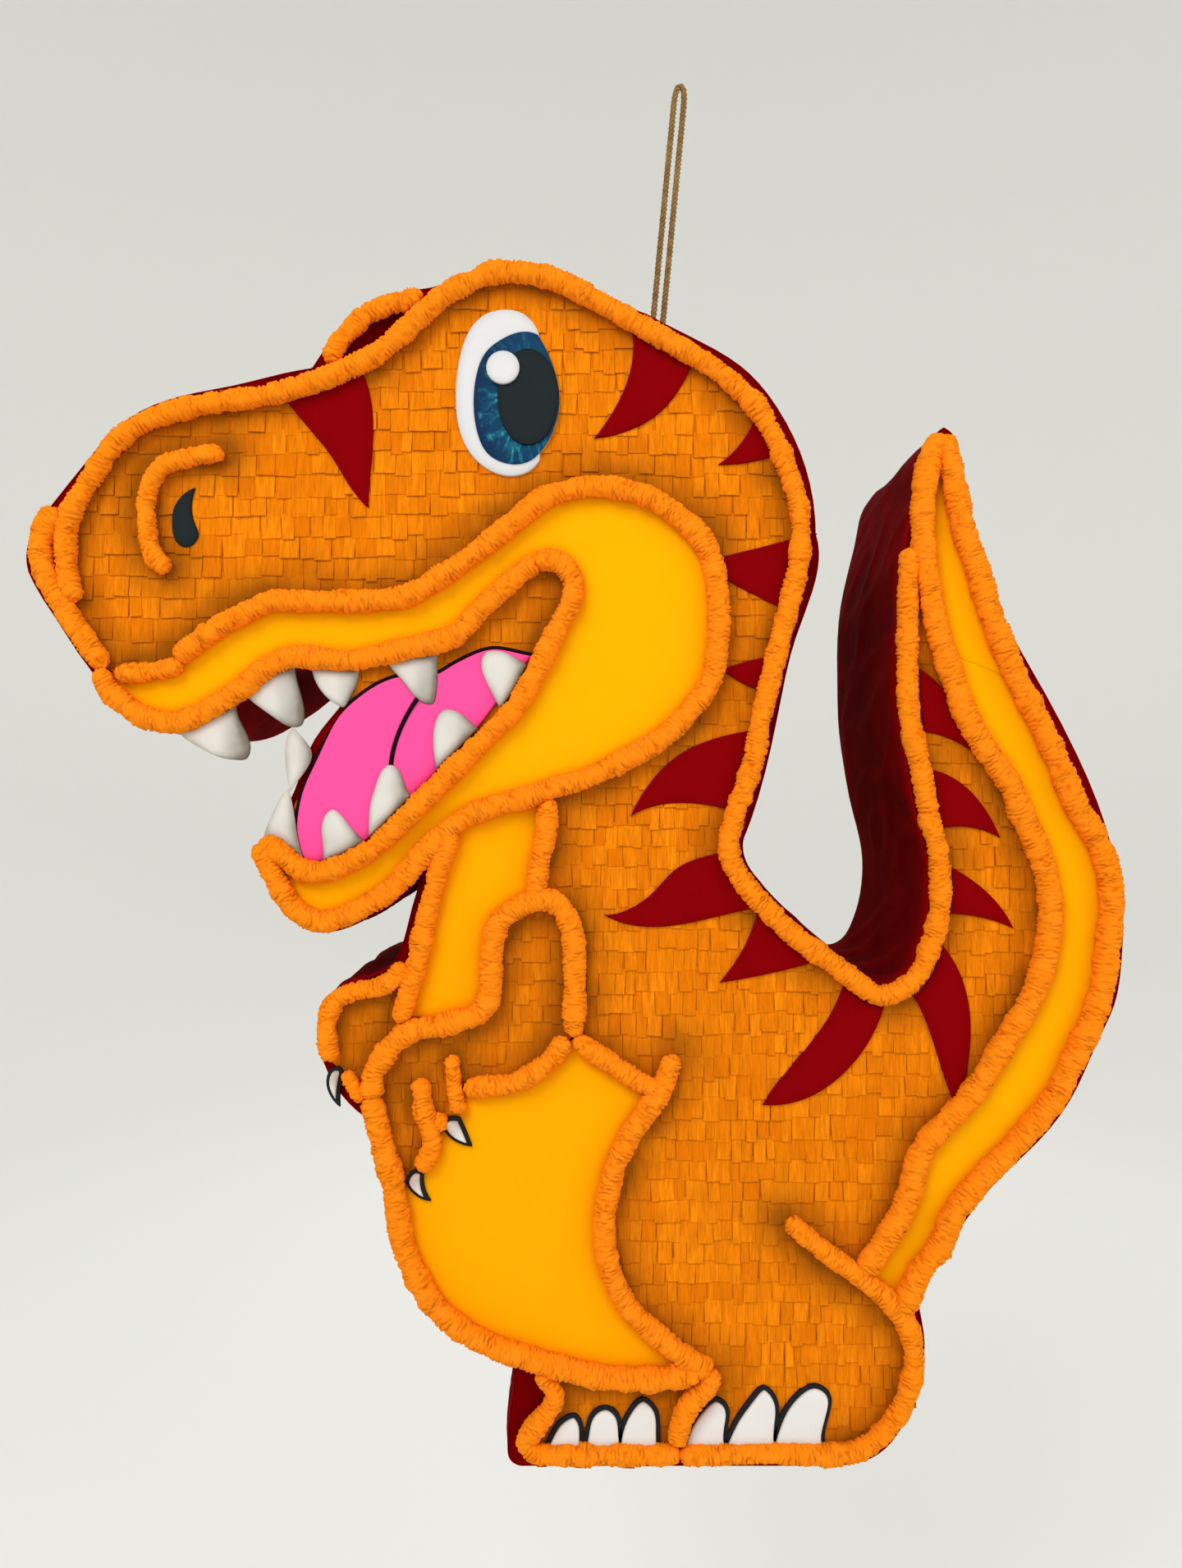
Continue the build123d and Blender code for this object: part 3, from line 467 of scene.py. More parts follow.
@dataclass(frozen=True)
class RedCrepe:
    """Crepe glued over felt: dark red, finely crinkled, darker in its folds by painted shade and
    brighter beside the rolls by painted light.
    """

    name: str = "red_crepe_over_felt"
    # base: the crepe's dark red, kept darker still to paint the shade deep in the gaps
    base: str = "#780003"
    # painted light on the strip nearest the front, and painted shade in the folds' valleys
    painted_light: str = "#A00206"
    fold: str = "#3E0002"

    def make(self) -> bpy.types.Material:
        """Build the material.

        Returns:
            The material.
        """
        shade = Shade(self.name, roughness=0.98, specular=0.01)
        cloud = shade.grain(22.0, 3.0)
        base = shade.mixed(shade.ranged(cloud, 0.35, 0.7), paint(self.base), paint("#660002"))
        # painted shade in the folds' valleys, then painted light on the strip behind the front
        base = shade.laid(base, self.fold, shade.attribute("fold"), 0.3, 1.0, 0.75)
        base = shade.laid(base, self.painted_light, shade.attribute("near_front"), 0.0, 1.0, 0.7)
        crinkle = shade.grain(0.9, 3.0, (1.0, 0.35, 1.0))
        base = shade.laid(base, "#480002", crinkle, 0.5, 0.85, 0.3)
        shade.colour(base)
        shade.bump((crinkle, 0.35), (shade.grain(6.0, 2.0, (1.0, 0.5, 1.0)), 0.5))
        return shade.material


@dataclass(frozen=True)
class CraftFoam:
    """EVA foam sheet: one soft colour, a fine cell grain and a darker tone where shaded_by is
    high: airbrush, and painted shade on the teeth.
    """

    name: str
    base: str
    darker_tone: str
    roughness: float = 0.62
    shaded_by: str = "near_roll"
    strength: float = 0.8
    mottle: str = ""

    def make(self) -> bpy.types.Material:
        """Build the material.

        Returns:
            The material.
        """
        shade = Shade(self.name, self.roughness, specular=0.03)
        cells = shade.grain(0.45, 2.0)
        cloud = shade.grain(30.0, 3.0)
        base = shade.mixed(shade.ranged(cloud, 0.3, 0.75, 0.0, 0.35), paint(self.base),
                           paint(self.mottle or self.base))
        reach = shade.maths("MULTIPLY", shade.attribute(self.shaded_by),
                            shade.ranged(shade.grain(14.0, 2.0), 0.3, 0.7, 0.75, 1.15))
        base = shade.laid(base, self.darker_tone, reach, 0.0, 1.0, self.strength)
        base = shade.laid(base, self.darker_tone, cells, 0.45, 0.9, 0.12)
        shade.colour(base)
        shade.bump((cells, 0.05), (shade.grain(12.0, 2.0), 0.15))
        return shade.material


@dataclass(frozen=True)
class PaintedIris:
    """Foam painted in blue, with brushed teal strokes that run out from the pupil."""

    deep: str = "#01244C"
    middle: str = "#013E60"
    stroke: str = "#1E8094"

    def make(self) -> bpy.types.Material:
        """Build the material.

        Returns:
            The material.
        """
        shade = Shade("painted_iris_foam", roughness=0.6, specular=0.12)
        around = add_node(shade.tree, "ShaderNodeCombineXYZ", links={
            0: shade.attribute("around"), 1: shade.attribute("outward")}).outputs[0]
        stretched = add_node(shade.tree, "ShaderNodeMapping",
                             links={"Vector": around, "Scale": (46.0, 2.6, 1.0)}).outputs[0]
        strokes = add_node(shade.tree, "ShaderNodeTexNoise", links={
            "Vector": stretched, "Scale": 1.0, "Detail": 3.0, "Roughness": 0.6}).outputs["Fac"]
        outward = shade.attribute("outward")
        near = shade.ranged(outward, 0.05, 0.75, 1.0, 0.0)
        base = shade.mixed(near, paint(self.deep), paint(self.middle))
        lower = shade.attribute("lower_left")
        lit = shade.maths("MULTIPLY", shade.ranged(strokes, 0.48, 0.66), near)
        lit = shade.maths("MULTIPLY", lit, lower)
        base = shade.mixed(lit, base, paint(self.stroke))
        base = shade.mixed(shade.maths("MULTIPLY", shade.ranged(strokes, 0.6, 0.7), lit), base,
                           paint("#5CC4BE"))
        shade.colour(base)
        shade.bump((strokes, 0.12), (shade.grain(0.5, 2.0), 0.05))
        return shade.material


@dataclass(frozen=True)
class JuteTwine:
    """Jute: dull brown-gold fibres laid along the ply, darker between the plies."""

    fibre: str = "#A07C40"
    shadow: str = "#664817"

    def make(self) -> bpy.types.Material:
        """Build the material.

        Returns:
            The material.
        """
        shade = Shade("jute_twine", roughness=0.92, sheen=0.3, specular=0.15)
        fibres = shade.grain(0.35, 3.0, (1.0, 1.0, 0.12), turn=0.5)
        patch = shade.grain(7.0, 2.0)
        base = shade.mixed(shade.ranged(fibres, 0.35, 0.7), paint(self.shadow), paint(self.fibre))
        base = shade.laid(base, "#B68F50", patch, 0.4, 0.7, 0.45)
        shade.colour(base)
        shade.bump((fibres, 0.25))
        return shade.material


@dataclass(frozen=True)
class KraftCard:
    """Corrugated kraft card: brown liner with short fibres and faint lines of its flutes."""

    flute: float = 7.0         # millimetres from flute to flute

    def make(self) -> bpy.types.Material:
        """Build the material.

        Returns:
            The material.
        """
        shade = Shade("corrugated_kraft_card", roughness=0.85, specular=0.25)
        lines = add_node(shade.tree, "ShaderNodeTexWave", {"bands_direction": "X"}, {
            "Vector": shade.place, "Scale": math.tau / (20.0 * self.flute * MM)}).outputs["Fac"]
        fibres = shade.grain(0.7, 4.0, (0.15, 1.0, 1.0))
        base = shade.mixed(shade.ranged(fibres, 0.3, 0.75), paint("#A8835A"), paint("#C29C70"))
        base = shade.laid(base, "#94714A", lines, 0.6, 1.0, 0.25)
        shade.colour(base)
        shade.bump((lines, 0.12), (fibres, 0.05))
        return shade.material


@dataclass(frozen=True)
class BeechDowel:
    """Beech: pale wood with short darker flecks along the rod."""

    def make(self) -> bpy.types.Material:
        """Build the material.

        Returns:
            The material.
        """
        shade = Shade("beech_dowel", roughness=0.6)
        fleck = shade.grain(0.8, 3.0, (1.0, 0.06, 1.0))
        dark = shade.ranged(fleck, 0.4, 0.75)
        shade.colour(shade.mixed(dark, paint("#D6AE7C"), paint("#B4824E")))
        shade.bump((fleck, 0.08))
        return shade.material


@dataclass(frozen=True)
class GummedTape:
    """Gummed paper tape: smooth kraft with long fibres and a slight shine."""

    def make(self) -> bpy.types.Material:
        """Build the material.

        Returns:
            The material.
        """
        shade = Shade("gummed_paper_tape", roughness=0.5, specular=0.4)
        fibres = shade.grain(0.8, 3.0, (0.12, 1.0, 1.0))
        pale = shade.ranged(fibres, 0.3, 0.75)
        shade.colour(shade.mixed(pale, paint("#B48E5C"), paint("#CCA878")))
        shade.bump((fibres, 0.06))
        return shade.material


# ---------------------------------------------------------------- mesh helpers
def merged(node: str) -> bmesh.types.BMesh:
    """A CAD node's mesh as a joined copy.

    Args:
        node: the CAD node.

    Returns:
        The copy, which its user frees.
    """
    copy = bmesh.new()
    copy.from_mesh(frame["nodes"][node].data)
    bmesh.ops.remove_doubles(copy, verts=copy.verts, dist=0.005 * MM)
    return copy


def new_piece(name: str, mesh: bpy.types.Mesh, body: Body,
              material: bpy.types.Material, replaces: Iterable[str] = (),
              smooth: bool = True) -> bpy.types.Object:
    """Hang a finished mesh on its body.

    Args:
        name: the piece's name.
        mesh: its mesh, with its place in it.
        body: the body that it rides on.
        material: its finish.
        replaces: the CAD nodes that it stands for.
        smooth: whether its faces are shaded smoothly.

    Returns:
        The piece's object, at the origin.
    """
    mesh.materials.clear()
    mesh.materials.append(material)
    if smooth:
        mesh.shade_smooth()
    piece = bpy.data.objects.new(name, mesh)
    bpy.context.scene.collection.objects.link(piece)
    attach(piece, body.value)
    for node in replaces:
        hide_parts(node)
    log.info("%s: %d faces", name, len(mesh.polygons))
    return piece


def store(mesh: bpy.types.Mesh, name: str, values: np.ndarray) -> None:
    """Write one number for each vertex into an attribute."""
    layer = mesh.attributes.get(name) or mesh.attributes.new(name, "FLOAT", "POINT")
    layer.data.foreach_set("value", np.asarray(values, dtype=np.float32))


def places(mesh: bpy.types.Mesh) -> np.ndarray:
    """The mesh's vertices in metres.

    Args:
        mesh: the mesh.

    Returns:
        A row of x, y, z for each vertex.
    """
    found = np.empty(len(mesh.vertices) * 3, dtype=np.float32)
    mesh.vertices.foreach_get("co", found)
    return found.reshape(-1, 3)


def evaluated(host: bpy.types.Object) -> bpy.types.Mesh:
    """Take what an object's modifiers make, and delete the object.

    Args:
        host: the object with its modifiers.

    Returns:
        The plain mesh.
    """
    graph = bpy.context.evaluated_depsgraph_get()
    mesh = bpy.data.meshes.new_from_object(host.evaluated_get(graph), depsgraph=graph)
    bpy.data.objects.remove(host)
    return mesh


def run_tree(host: bpy.types.Object, tree: bpy.types.NodeTree, inputs: dict) -> bpy.types.Mesh:
    """Run a Geometry Nodes tree on an object and take its plain mesh.

    Args:
        host: the object that carries the tree's input geometry.
        tree: the tree.
        inputs: the named inputs' values.

    Returns:
        The resulting mesh.
    """
    modifier = host.modifiers.new("maker", "NODES")
    modifier.node_group = tree
    for item in tree.interface.items_tree:
        if item.item_type == "SOCKET" and item.in_out == "INPUT" and item.name in inputs:
            modifier[item.identifier] = inputs[item.name]
    return evaluated(host)


def open_tree(name: str, inputs: dict[str, str]) -> tuple[bpy.types.NodeTree, bpy.types.Node]:
    """Start a Geometry Nodes tree with a geometry input and output.

    Args:
        name: the tree's name.
        inputs: its other inputs' names and socket types.

    Returns:
        The tree and the node that gives its inputs.
    """
    tree = bpy.data.node_groups.new(name, "GeometryNodeTree")
    for label, kind in {"Geometry": "NodeSocketGeometry", **inputs}.items():
        tree.interface.new_socket(label, in_out="INPUT", socket_type=kind)
    tree.interface.new_socket("Geometry", in_out="OUTPUT", socket_type="NodeSocketGeometry")
    return tree, add_node(tree, "NodeGroupInput")


def carried(tree: bpy.types.NodeTree, name: str) -> bpy.types.NodeSocket:
    """A number that the tree's points carry."""
    return add_node(tree, "GeometryNodeInputNamedAttribute", {"data_type": "FLOAT"},
                    {"Name": name}).outputs[0]


def noted(tree: bpy.types.NodeTree, geometry: bpy.types.NodeSocket, name: str,
          value: bpy.types.NodeSocket, domain: str = "POINT") -> bpy.types.NodeSocket:
    """Write one more number on the geometry.

    Args:
        tree: the tree that the node joins.
        geometry: the geometry's socket.
        name: the attribute's name.
        value: the number's socket.
        domain: what carries the number.

    Returns:
        The socket of the geometry with its number.
    """
    return add_node(tree, "GeometryNodeStoreNamedAttribute",
                    {"data_type": "FLOAT", "domain": domain},
                    {"Geometry": geometry, "Name": name, "Value": value}).outputs[0]


def close_tree(tree: bpy.types.NodeTree, geometry: bpy.types.NodeSocket,
               material: bpy.types.NodeSocket) -> None:
    """End a tree in Realize Instances and Set Material.

    Args:
        tree: the tree.
        geometry: the socket of its finished geometry.
        material: the socket of its material.
    """
    real = add_node(tree, "GeometryNodeRealizeInstances", links={"Geometry": geometry})
    dressed = add_node(tree, "GeometryNodeSetMaterial",
                       links={"Geometry": real.outputs[0], "Material": material})
    add_node(tree, "NodeGroupOutput", links={"Geometry": dressed.outputs[0]})


# ---------------------------------------------------------------- the rolls
def drawn_in(place: Vector) -> Vector:
    """Bring a place that stands proud of the front in towards the viewing axis.

    The routes are drawn as they look over the front from the viewing point, so a roll's
    middle, which is nearer to the viewer, lies in by its share of the distance.

    Args:
        place: where the route would have it.

    Returns:
        Where it lies.
    """
    share = (place.y - VIEW_POINT.y) / (FRONT - VIEW_POINT.y)
    return Vector((VIEW_POINT.x + (place.x - VIEW_POINT.x) * share, place.y,
                   VIEW_POINT.z + (place.z - VIEW_POINT.z) * share))


def smooth_run(line: Line, step: float = 2.0) -> list[Point]:
    """Follow the smooth line through a route.

    Args:
        line: the route's points in millimetres.
        step: about how far apart the new points are, in millimetres.

    Returns:
        Points on the line, its ends included.
    """
    found: list[Point] = []
    ends = [line[0], *line, line[-1]]
    for a, b, c, d in zip(ends, ends[1:], ends[2:], ends[3:]):
        count = max(1, round(math.dist(b, c) / step))
        for i in range(count):
            t = i / count
            found.append(tuple(
                0.5 * (2 * q + (r - p) * t + (2 * p - 5 * q + 4 * r - s) * t * t
                       + (3 * q - p - 3 * r + s) * t ** 3)
                for p, q, r, s in zip(a, b, c, d)))
    return [*found, line[-1]]


class RollMap:
    """Where the rolls lie, to tell how near to one a point is."""

    def __init__(self, plan: dict[str, list[tuple[float, Line]]]) -> None:
        """Collect points along every route with the half width of its roll.

        Args:
            plan: each node's rolls, as widths and routes.
        """
        runs = [(x, z, width / 2) for rolls in plan.values() for width, line in rolls
                for x, z in smooth_run(line)]
        self.tree = KDTree(len(runs))
        self.half = [half for _, _, half in runs]
        for index, (x, z, _) in enumerate(runs):
            self.tree.insert(on_sheet((x, z), 0.0), index)
        self.tree.balance()

    def clearance(self, x: float, z: float) -> float:
        """How far a place of the front, in metres, lies from the nearest roll's edge."""
        _, index, distance = self.tree.find((x, 0.0, z))
        return distance - self.half[index] * MM


@dataclass
class GatheredRolls:
    """Crepe paper gathered along a cord and glued down on every line of the figure."""

    plan: dict[str, list[tuple[float, Line]]]
    finish: GatheredCrepe = field(default_factory=GatheredCrepe)
    ring_spacing: float = 0.65       # millimetres
    gather_pitch: float = 3.7
    gather_depth: float = 1.85
    lump_depth: float = 0.22         # share of the roll's radius
    lump_scale: float = 95.0         # features to the metre, here and below
    slant_scale: float = 110.0
    slant: float = 1.9               # turns of the gathers by which they wander
    crumple_scale: float = 260.0
    crumple: float = 0.5             # share of the gather depth, here and below
    puff: float = 0.25
    vary_scale: float = 130.0
    vary: float = 0.8
    depth_share: float = 0.75
    sharpness: float = 1.3
    narrowest: float = 0.22          # share of the radius that is left at an end
    sides: int = 18
    seated: float = 0.9              # share of the radius that the middle stands off the bed

    def tree(self) -> bpy.types.NodeTree:
        """Build the tree that gathers a tube along a line, whose radius is the line's own.

        Returns:
            The tree.
        """
        tree, given = open_tree("gathered_roll", {
            "Ring spacing": "NodeSocketFloat", "Gather pitch": "NodeSocketFloat",
            "Gather depth": "NodeSocketFloat", "Lump depth": "NodeSocketFloat",
            "Sides": "NodeSocketInt", "Seed": "NodeSocketFloat",
            "Material": "NodeSocketMaterial"})
        maths = reckoner(tree)

        def wander(vector: bpy.types.NodeSocket, scale: float,
                   detail: float = 1.0) -> bpy.types.NodeSocket:
            """A noise about nought.

            Args:
                vector: the place that it depends on.
                scale: its features to the metre.
                detail: how many finer layers lie on it.

            Returns:
                The noise's socket.
            """
            value = add_node(tree, "ShaderNodeTexNoise", {"noise_dimensions": "4D"}, {
                "Vector": vector, "W": given.outputs["Seed"], "Scale": scale,
                "Detail": detail}).outputs["Fac"]
            return maths("MULTIPLY", maths("SUBTRACT", value, 0.5), 3.0)

        rings = add_node(tree, "GeometryNodeResampleCurve", {"mode": "LENGTH"}, {
            "Curve": given.outputs["Geometry"], "Length": given.outputs["Ring spacing"]})
        run = add_node(tree, "GeometryNodeSplineParameter").outputs["Length"]
        whole = add_node(tree, "GeometryNodeSplineLength").outputs["Length"]
        radius = add_node(tree, "GeometryNodeInputRadius").outputs[0]
        place = add_node(tree, "GeometryNodeInputPosition").outputs[0]
        from_end = maths("DIVIDE", maths("MINIMUM", run, maths("SUBTRACT", whole, run)), radius)
        hollow = maths("SUBTRACT", 1.0, maths("MINIMUM", from_end, 1.0))
        rounded = maths("SQRT", maths("SUBTRACT", 1.0, maths("MULTIPLY", hollow, hollow)))
        lumps = maths("MULTIPLY", wander(place, self.lump_scale), given.outputs["Lump depth"])
        swell = maths("MULTIPLY", maths("MAXIMUM", rounded, self.narrowest),
                      maths("ADD", lumps, 1.0))
        marked = noted(tree, rings.outputs[0], "run", run)
        sized = add_node(tree, "GeometryNodeSetCurveRadius", links={
            "Curve": marked, "Radius": maths("MULTIPLY", radius, swell)})
        profile = add_node(tree, "GeometryNodeCurvePrimitiveCircle", links={
            "Resolution": given.outputs["Sides"], "Radius": 1.0})
        tube = add_node(tree, "GeometryNodeCurveToMesh", links={
            "Curve": sized.outputs[0], "Profile Curve": profile.outputs["Curve"],
            "Scale": radius, "Fill Caps": True})
        along = carried(tree, "run")
        turns = maths("DIVIDE", along, given.outputs["Gather pitch"])
        slant = maths("MULTIPLY", wander(place, self.slant_scale), self.slant)
        wave = maths("SINE", maths("MULTIPLY", maths("ADD", turns, slant), math.pi))
        fold = maths("POWER", maths("SUBTRACT", 1.0, maths("ABSOLUTE", wave)), self.sharpness)
        uneven = maths("ADD", maths("MULTIPLY", wander(place, self.vary_scale), self.vary),
                       self.depth_share)
        crease = maths("MAXIMUM", maths("MULTIPLY", fold, uneven), 0.0)
        crumple = maths("MULTIPLY", wander(place, self.crumple_scale, 2.0), self.crumple)
        inward = maths("MULTIPLY", maths("SUBTRACT", maths("ADD", crumple, self.puff), crease),
                       given.outputs["Gather depth"])
        normal = add_node(tree, "GeometryNodeInputNormal").outputs[0]
        push = add_node(tree, "ShaderNodeVectorMath", {"operation": "SCALE"},
                        {0: normal, "Scale": inward})
        # crease, how deep each gather folds in, is kept for the painted shade of the finish
        folded = add_node(tree, "GeometryNodeSetPosition", links={
            "Geometry": noted(tree, tube.outputs[0], "crease", crease), "Offset": push.outputs[0]})
        close_tree(tree, folded.outputs[0], given.outputs["Material"])
        return tree

    def build(self) -> None:
        """Gather every roll of the plan and stand it in for its CAD node."""
        material = self.finish.make()
        tree = self.tree()
        for seed, (node, rolls) in enumerate(self.plan.items()):
            curve = bpy.data.curves.new(node, "CURVE")
            curve.dimensions = "3D"
            for width, line in rolls:
                run = smooth_run(line)
                spline = curve.splines.new("POLY")
                spline.points.add(len(run) - 1)
                depth = BED - self.seated * width / 2 * MM
                for point, place in zip(spline.points, run):
                    point.co = (*drawn_in(on_sheet(place, depth)), 1.0)
                    point.radius = width / 2 * MM
            host = bpy.data.objects.new(node + "_cord", curve)
            bpy.context.scene.collection.objects.link(host)
            mesh = run_tree(host, tree, {
                "Ring spacing": self.ring_spacing * MM, "Gather pitch": self.gather_pitch * MM,
                "Gather depth": self.gather_depth * MM, "Lump depth": self.lump_depth,
                "Sides": self.sides, "Seed": 3.7 * seed, "Material": material})
            new_piece("gathered_" + node, mesh, Body.FIGURE, material, [node])


# ---------------------------------------------------------------- flat cut pieces
def loops_at(node: str, facing: float = -1.0) -> dict[float, list[list[list[Vector]]]]:
    """The outlines of a node's flat faces, for each depth at which it has such faces.

    Args:
        node: the CAD node.
        facing: -1 for faces that look to the front, 1 for those that look back.

    Returns:
        For each depth in metres, a list of islands; each island is a list of closed loops.
    """
    work = merged(node)
    flat = {f for f in work.faces if f.normal.y * facing > 0.99}
    levels: dict[float, list[list[list[Vector]]]] = {}
    seen: set[bmesh.types.BMFace] = set()
    for start in work.faces:
        if start not in flat or start in seen:
            continue
        island, stack = [], [start]
        seen.add(start)
        while stack:
            face = stack.pop()
            island.append(face)
            for edge in face.edges:
                for other in edge.link_faces:
                    if other in flat and other not in seen:
                        seen.add(other)
                        stack.append(other)
        inside = set(island)
        rim = [e for f in island for e in f.edges
               if sum(o in inside for o in e.link_faces) == 1]
        after: dict[bmesh.types.BMVert, bmesh.types.BMVert] = {}
        for edge in rim:
            face = next(f for f in edge.link_faces if f in inside)
            for loop in face.loops:
                if loop.edge is edge:
                    after[loop.vert] = loop.link_loop_next.vert
        loops = []
        while after:
            first, here = next(iter(after.items()))
            path = [first.co.copy()]
            del after[first]
            while here is not first and here in after:
                path.append(here.co.copy())
                here = after.pop(here)
            if len(path) > 2:
                loops.append(path)
        levels.setdefault(round(start.calc_center_median().y, 5), []).append(loops)
    work.free()
    return levels


def evened(loop: list[Vector], step: float) -> list[Vector]:
    """Space a closed loop's points evenly and keep its corners.

    Points closer together than a third of the step are thinned where the loop is nearly straight.

    Args:
        loop: the loop's points.
        step: about how far apart the new points are, in metres.

    Returns:
        The evened loop.
    """
    kept = [p for p in loop]
    changed = True
    while changed and len(kept) > 8:
        changed = False
        thinner = []
        skip = False
        for i, here in enumerate(kept):
            before = kept[i - 1]
            following = kept[(i + 1) % len(kept)]
            first, second = here - before, following - here
            near = first.length < step / 3 or second.length < step / 3
            straight = first.length * second.length > 0 and first.angle(second, 0.0) < 0.12
            if near and straight and not skip:
                skip = True
                changed = True
                continue
            skip = False
            thinner.append(here)
        kept = thinner
    found = []
    for here, following in zip(kept, kept[1:] + kept[:1]):
        count = max(1, round((following - here).length / step))
        found += [here.lerp(following, i / count) for i in range(count)]
    return found


def wider_toe(place: Vector, middle: Vector) -> Vector:
    """Widen a toe's claw about its own middle, and leave the hands' claws as they are.

    Args:
        place: a point of the claw's outline.
        middle: the middle of that outline.

    Returns:
        The point's new place.
    """
    if middle.z > FOOT_TOP:
        return place
    shift = FORE_SHIFT if middle.x > FOOT_SPLIT else 0.0
    return Vector((middle.x + shift + (place.x - middle.x) * TOE_WIDER, place.y, place.z))


def longer_tail(place: Vector, _: Vector) -> Vector:
    """Run the yellow of the tail on, down to the roll of the leg."""
    below = TAIL_FROM - place.z
    return place if below < 0 else place - TAIL_RUN * below


@dataclass
class CutSheet:
    """Pieces cut from foam or paper sheet, with soft edges, in place of a CAD node.

    The attributes written for the finish are near_roll, 1 beside a roll and 0 away from it,
    edge, 1 at the piece's own edge, and side, from 0 on the left of a piece to 1 on its right.
    """

    node: str
    slot: Slot
    grain: float = 4.0          # millimetres between inner points
    rounding: float = 0.8       # millimetres of rounded edge
    crown: float = 0.0          # millimetres that the middle rises above the edge
    crown_reach: float = 12.0   # millimetres in from the edge over which it rises
    airbrush: float = 7.0       # millimetres that the colour beside a roll reaches
    edge_reach: float = 4.0
    proud: float = 0.0          # millimetres that the paper under it holds its face up
    reshape: Optional[Callable[[Vector, Vector], Vector]] = None

    def island(self, work: bmesh.types.BMesh, loops: list[list[Vector]], depth: float,
               back: float, rolls: RollMap, layers: dict) -> None:
        """Build one cut piece from its loops.

        Args:
            work: the mesh that it joins.
            loops: its outer loop and those of its holes.
            depth: its front face's depth in metres.
            back: its back face's depth in metres.
            rolls: where the rolls lie.
            layers: the attribute layers to fill in.
        """
        step = self.grain * MM
        if self.reshape:
            corners = [p for loop in loops for p in loop]
            middle = sum(corners, Vector()) / len(corners)
            loops = [[self.reshape(p, middle) for p in loop] for loop in loops]
        rims = [evened(loop, min(step, 2.5 * MM)) for loop in loops]
        samples = [p for rim in rims for a, b in zip(rim, rim[1:] + rim[:1])
                   for p in (a, a.lerp(b, 0.34), a.lerp(b, 0.67))]
        near = KDTree(len(samples))
        for index, place in enumerate(samples):
            near.insert((place.x, 0.0, place.z), index)
        near.balance()
        points = [Vector((p.x, p.z)) for rim in rims for p in rim]
        edges, start = [], 0
        for rim in rims:
            edges += [(start + i, start + (i + 1) % len(rim)) for i in range(len(rim))]
            start += len(rim)
        fixed = len(points)
        for inset in (0.3, 1.0):
            reach = inset * self.rounding * MM
            for rim in rims:
                for i, here in enumerate(rim):
                    run = rim[(i + 1) % len(rim)] - rim[i - 1]
                    inward = Vector((-run.z, run.x)).normalized() * reach
                    for sign in (1.0, -1.0):
                        spot = Vector((here.x, here.z)) + inward * sign
                        gap = near.find((spot.x, 0.0, spot.y))[2]
                        if gap > 0.85 * reach:
                            points.append(spot)
        low = [min(p.x for p in points[:fixed]), min(p.y for p in points[:fixed])]
        high = [max(p.x for p in points[:fixed]), max(p.y for p in points[:fixed])]
        row, z = 0, low[1]
        while z < high[1]:
            x = low[0] + (row % 2) * step / 2
            while x < high[0]:
                if near.find((x, 0.0, z))[2] > self.rounding * MM + 0.4 * step:
                    points.append(Vector((x, z)))
                x += step
            z += step * ROW_SHARE
            row += 1
        verts, _, faces, *_ = delaunay_2d_cdt(points, edges, [], 1, 1e-7)
        fronts, backs, rim_edges = [], [], {}
        for place in verts:
            gap = near.find((place.x, 0.0, place.y))[2]
            round_in = max(self.rounding * MM, 1e-6)
            dip = 1.0 - math.sqrt(max(0.0, 1.0 - (1.0 - min(gap / round_in, 1.0)) ** 2))
            rise = math.sin(min(gap / (self.crown_reach * MM), 1.0) * math.pi / 2)
            y = depth + min(dip * round_in, (back - depth) * 0.8)
            y -= (self.crown * rise + self.proud) * MM
            vert = work.verts.new((place.x, y, place.y))
            away = rolls.clearance(place.x, place.y) / (self.airbrush * MM)
            vert[layers["near_roll"]] = max(0.0, min(1.0, 1.0 - away)) ** 1.5
            vert[layers["edge"]] = max(0.0, 1.0 - gap / (self.edge_reach * MM))
            vert[layers["side"]] = (place.x - low[0]) / max(high[0] - low[0], 1e-6)
            fronts.append(vert)
            backs.append(None)
        for face in faces:
            a, b, c = face
            turn = (verts[b] - verts[a]).cross(verts[c] - verts[a])
            order = (a, b, c) if turn > 0 else (c, b, a)
            work.faces.new([fronts[i] for i in order])
            for first, second in zip(order, order[1:] + order[:1]):
                if (second, first) in rim_edges:
                    del rim_edges[(second, first)]
                else:
                    rim_edges[(first, second)] = True
        for first, second in rim_edges:
            for index in (first, second):
                if backs[index] is None:
                    place = verts[index]
                    vert = work.verts.new((place.x, back, place.y))
                    for layer in layers.values():
                        vert[layer] = fronts[index][layer]
                    backs[index] = vert
            work.faces.new([fronts[second], fronts[first], backs[first], backs[second]])
        rim_index = [i for i in range(len(verts)) if backs[i] is not None]
        rim_points = [verts[i] for i in rim_index]
        order_of = {index: n for n, index in enumerate(rim_index)}
        closed = [(order_of[a], order_of[b]) for a, b in rim_edges]
        flat = delaunay_2d_cdt(rim_points, closed, [], 1, 1e-7)
        if len(flat[0]) == len(rim_points):
            for a, b, c in flat[2]:
                turn = (flat[0][b] - flat[0][a]).cross(flat[0][c] - flat[0][a])
                order = (c, b, a) if turn > 0 else (a, b, c)
                work.faces.new([backs[rim_index[i]] for i in order])

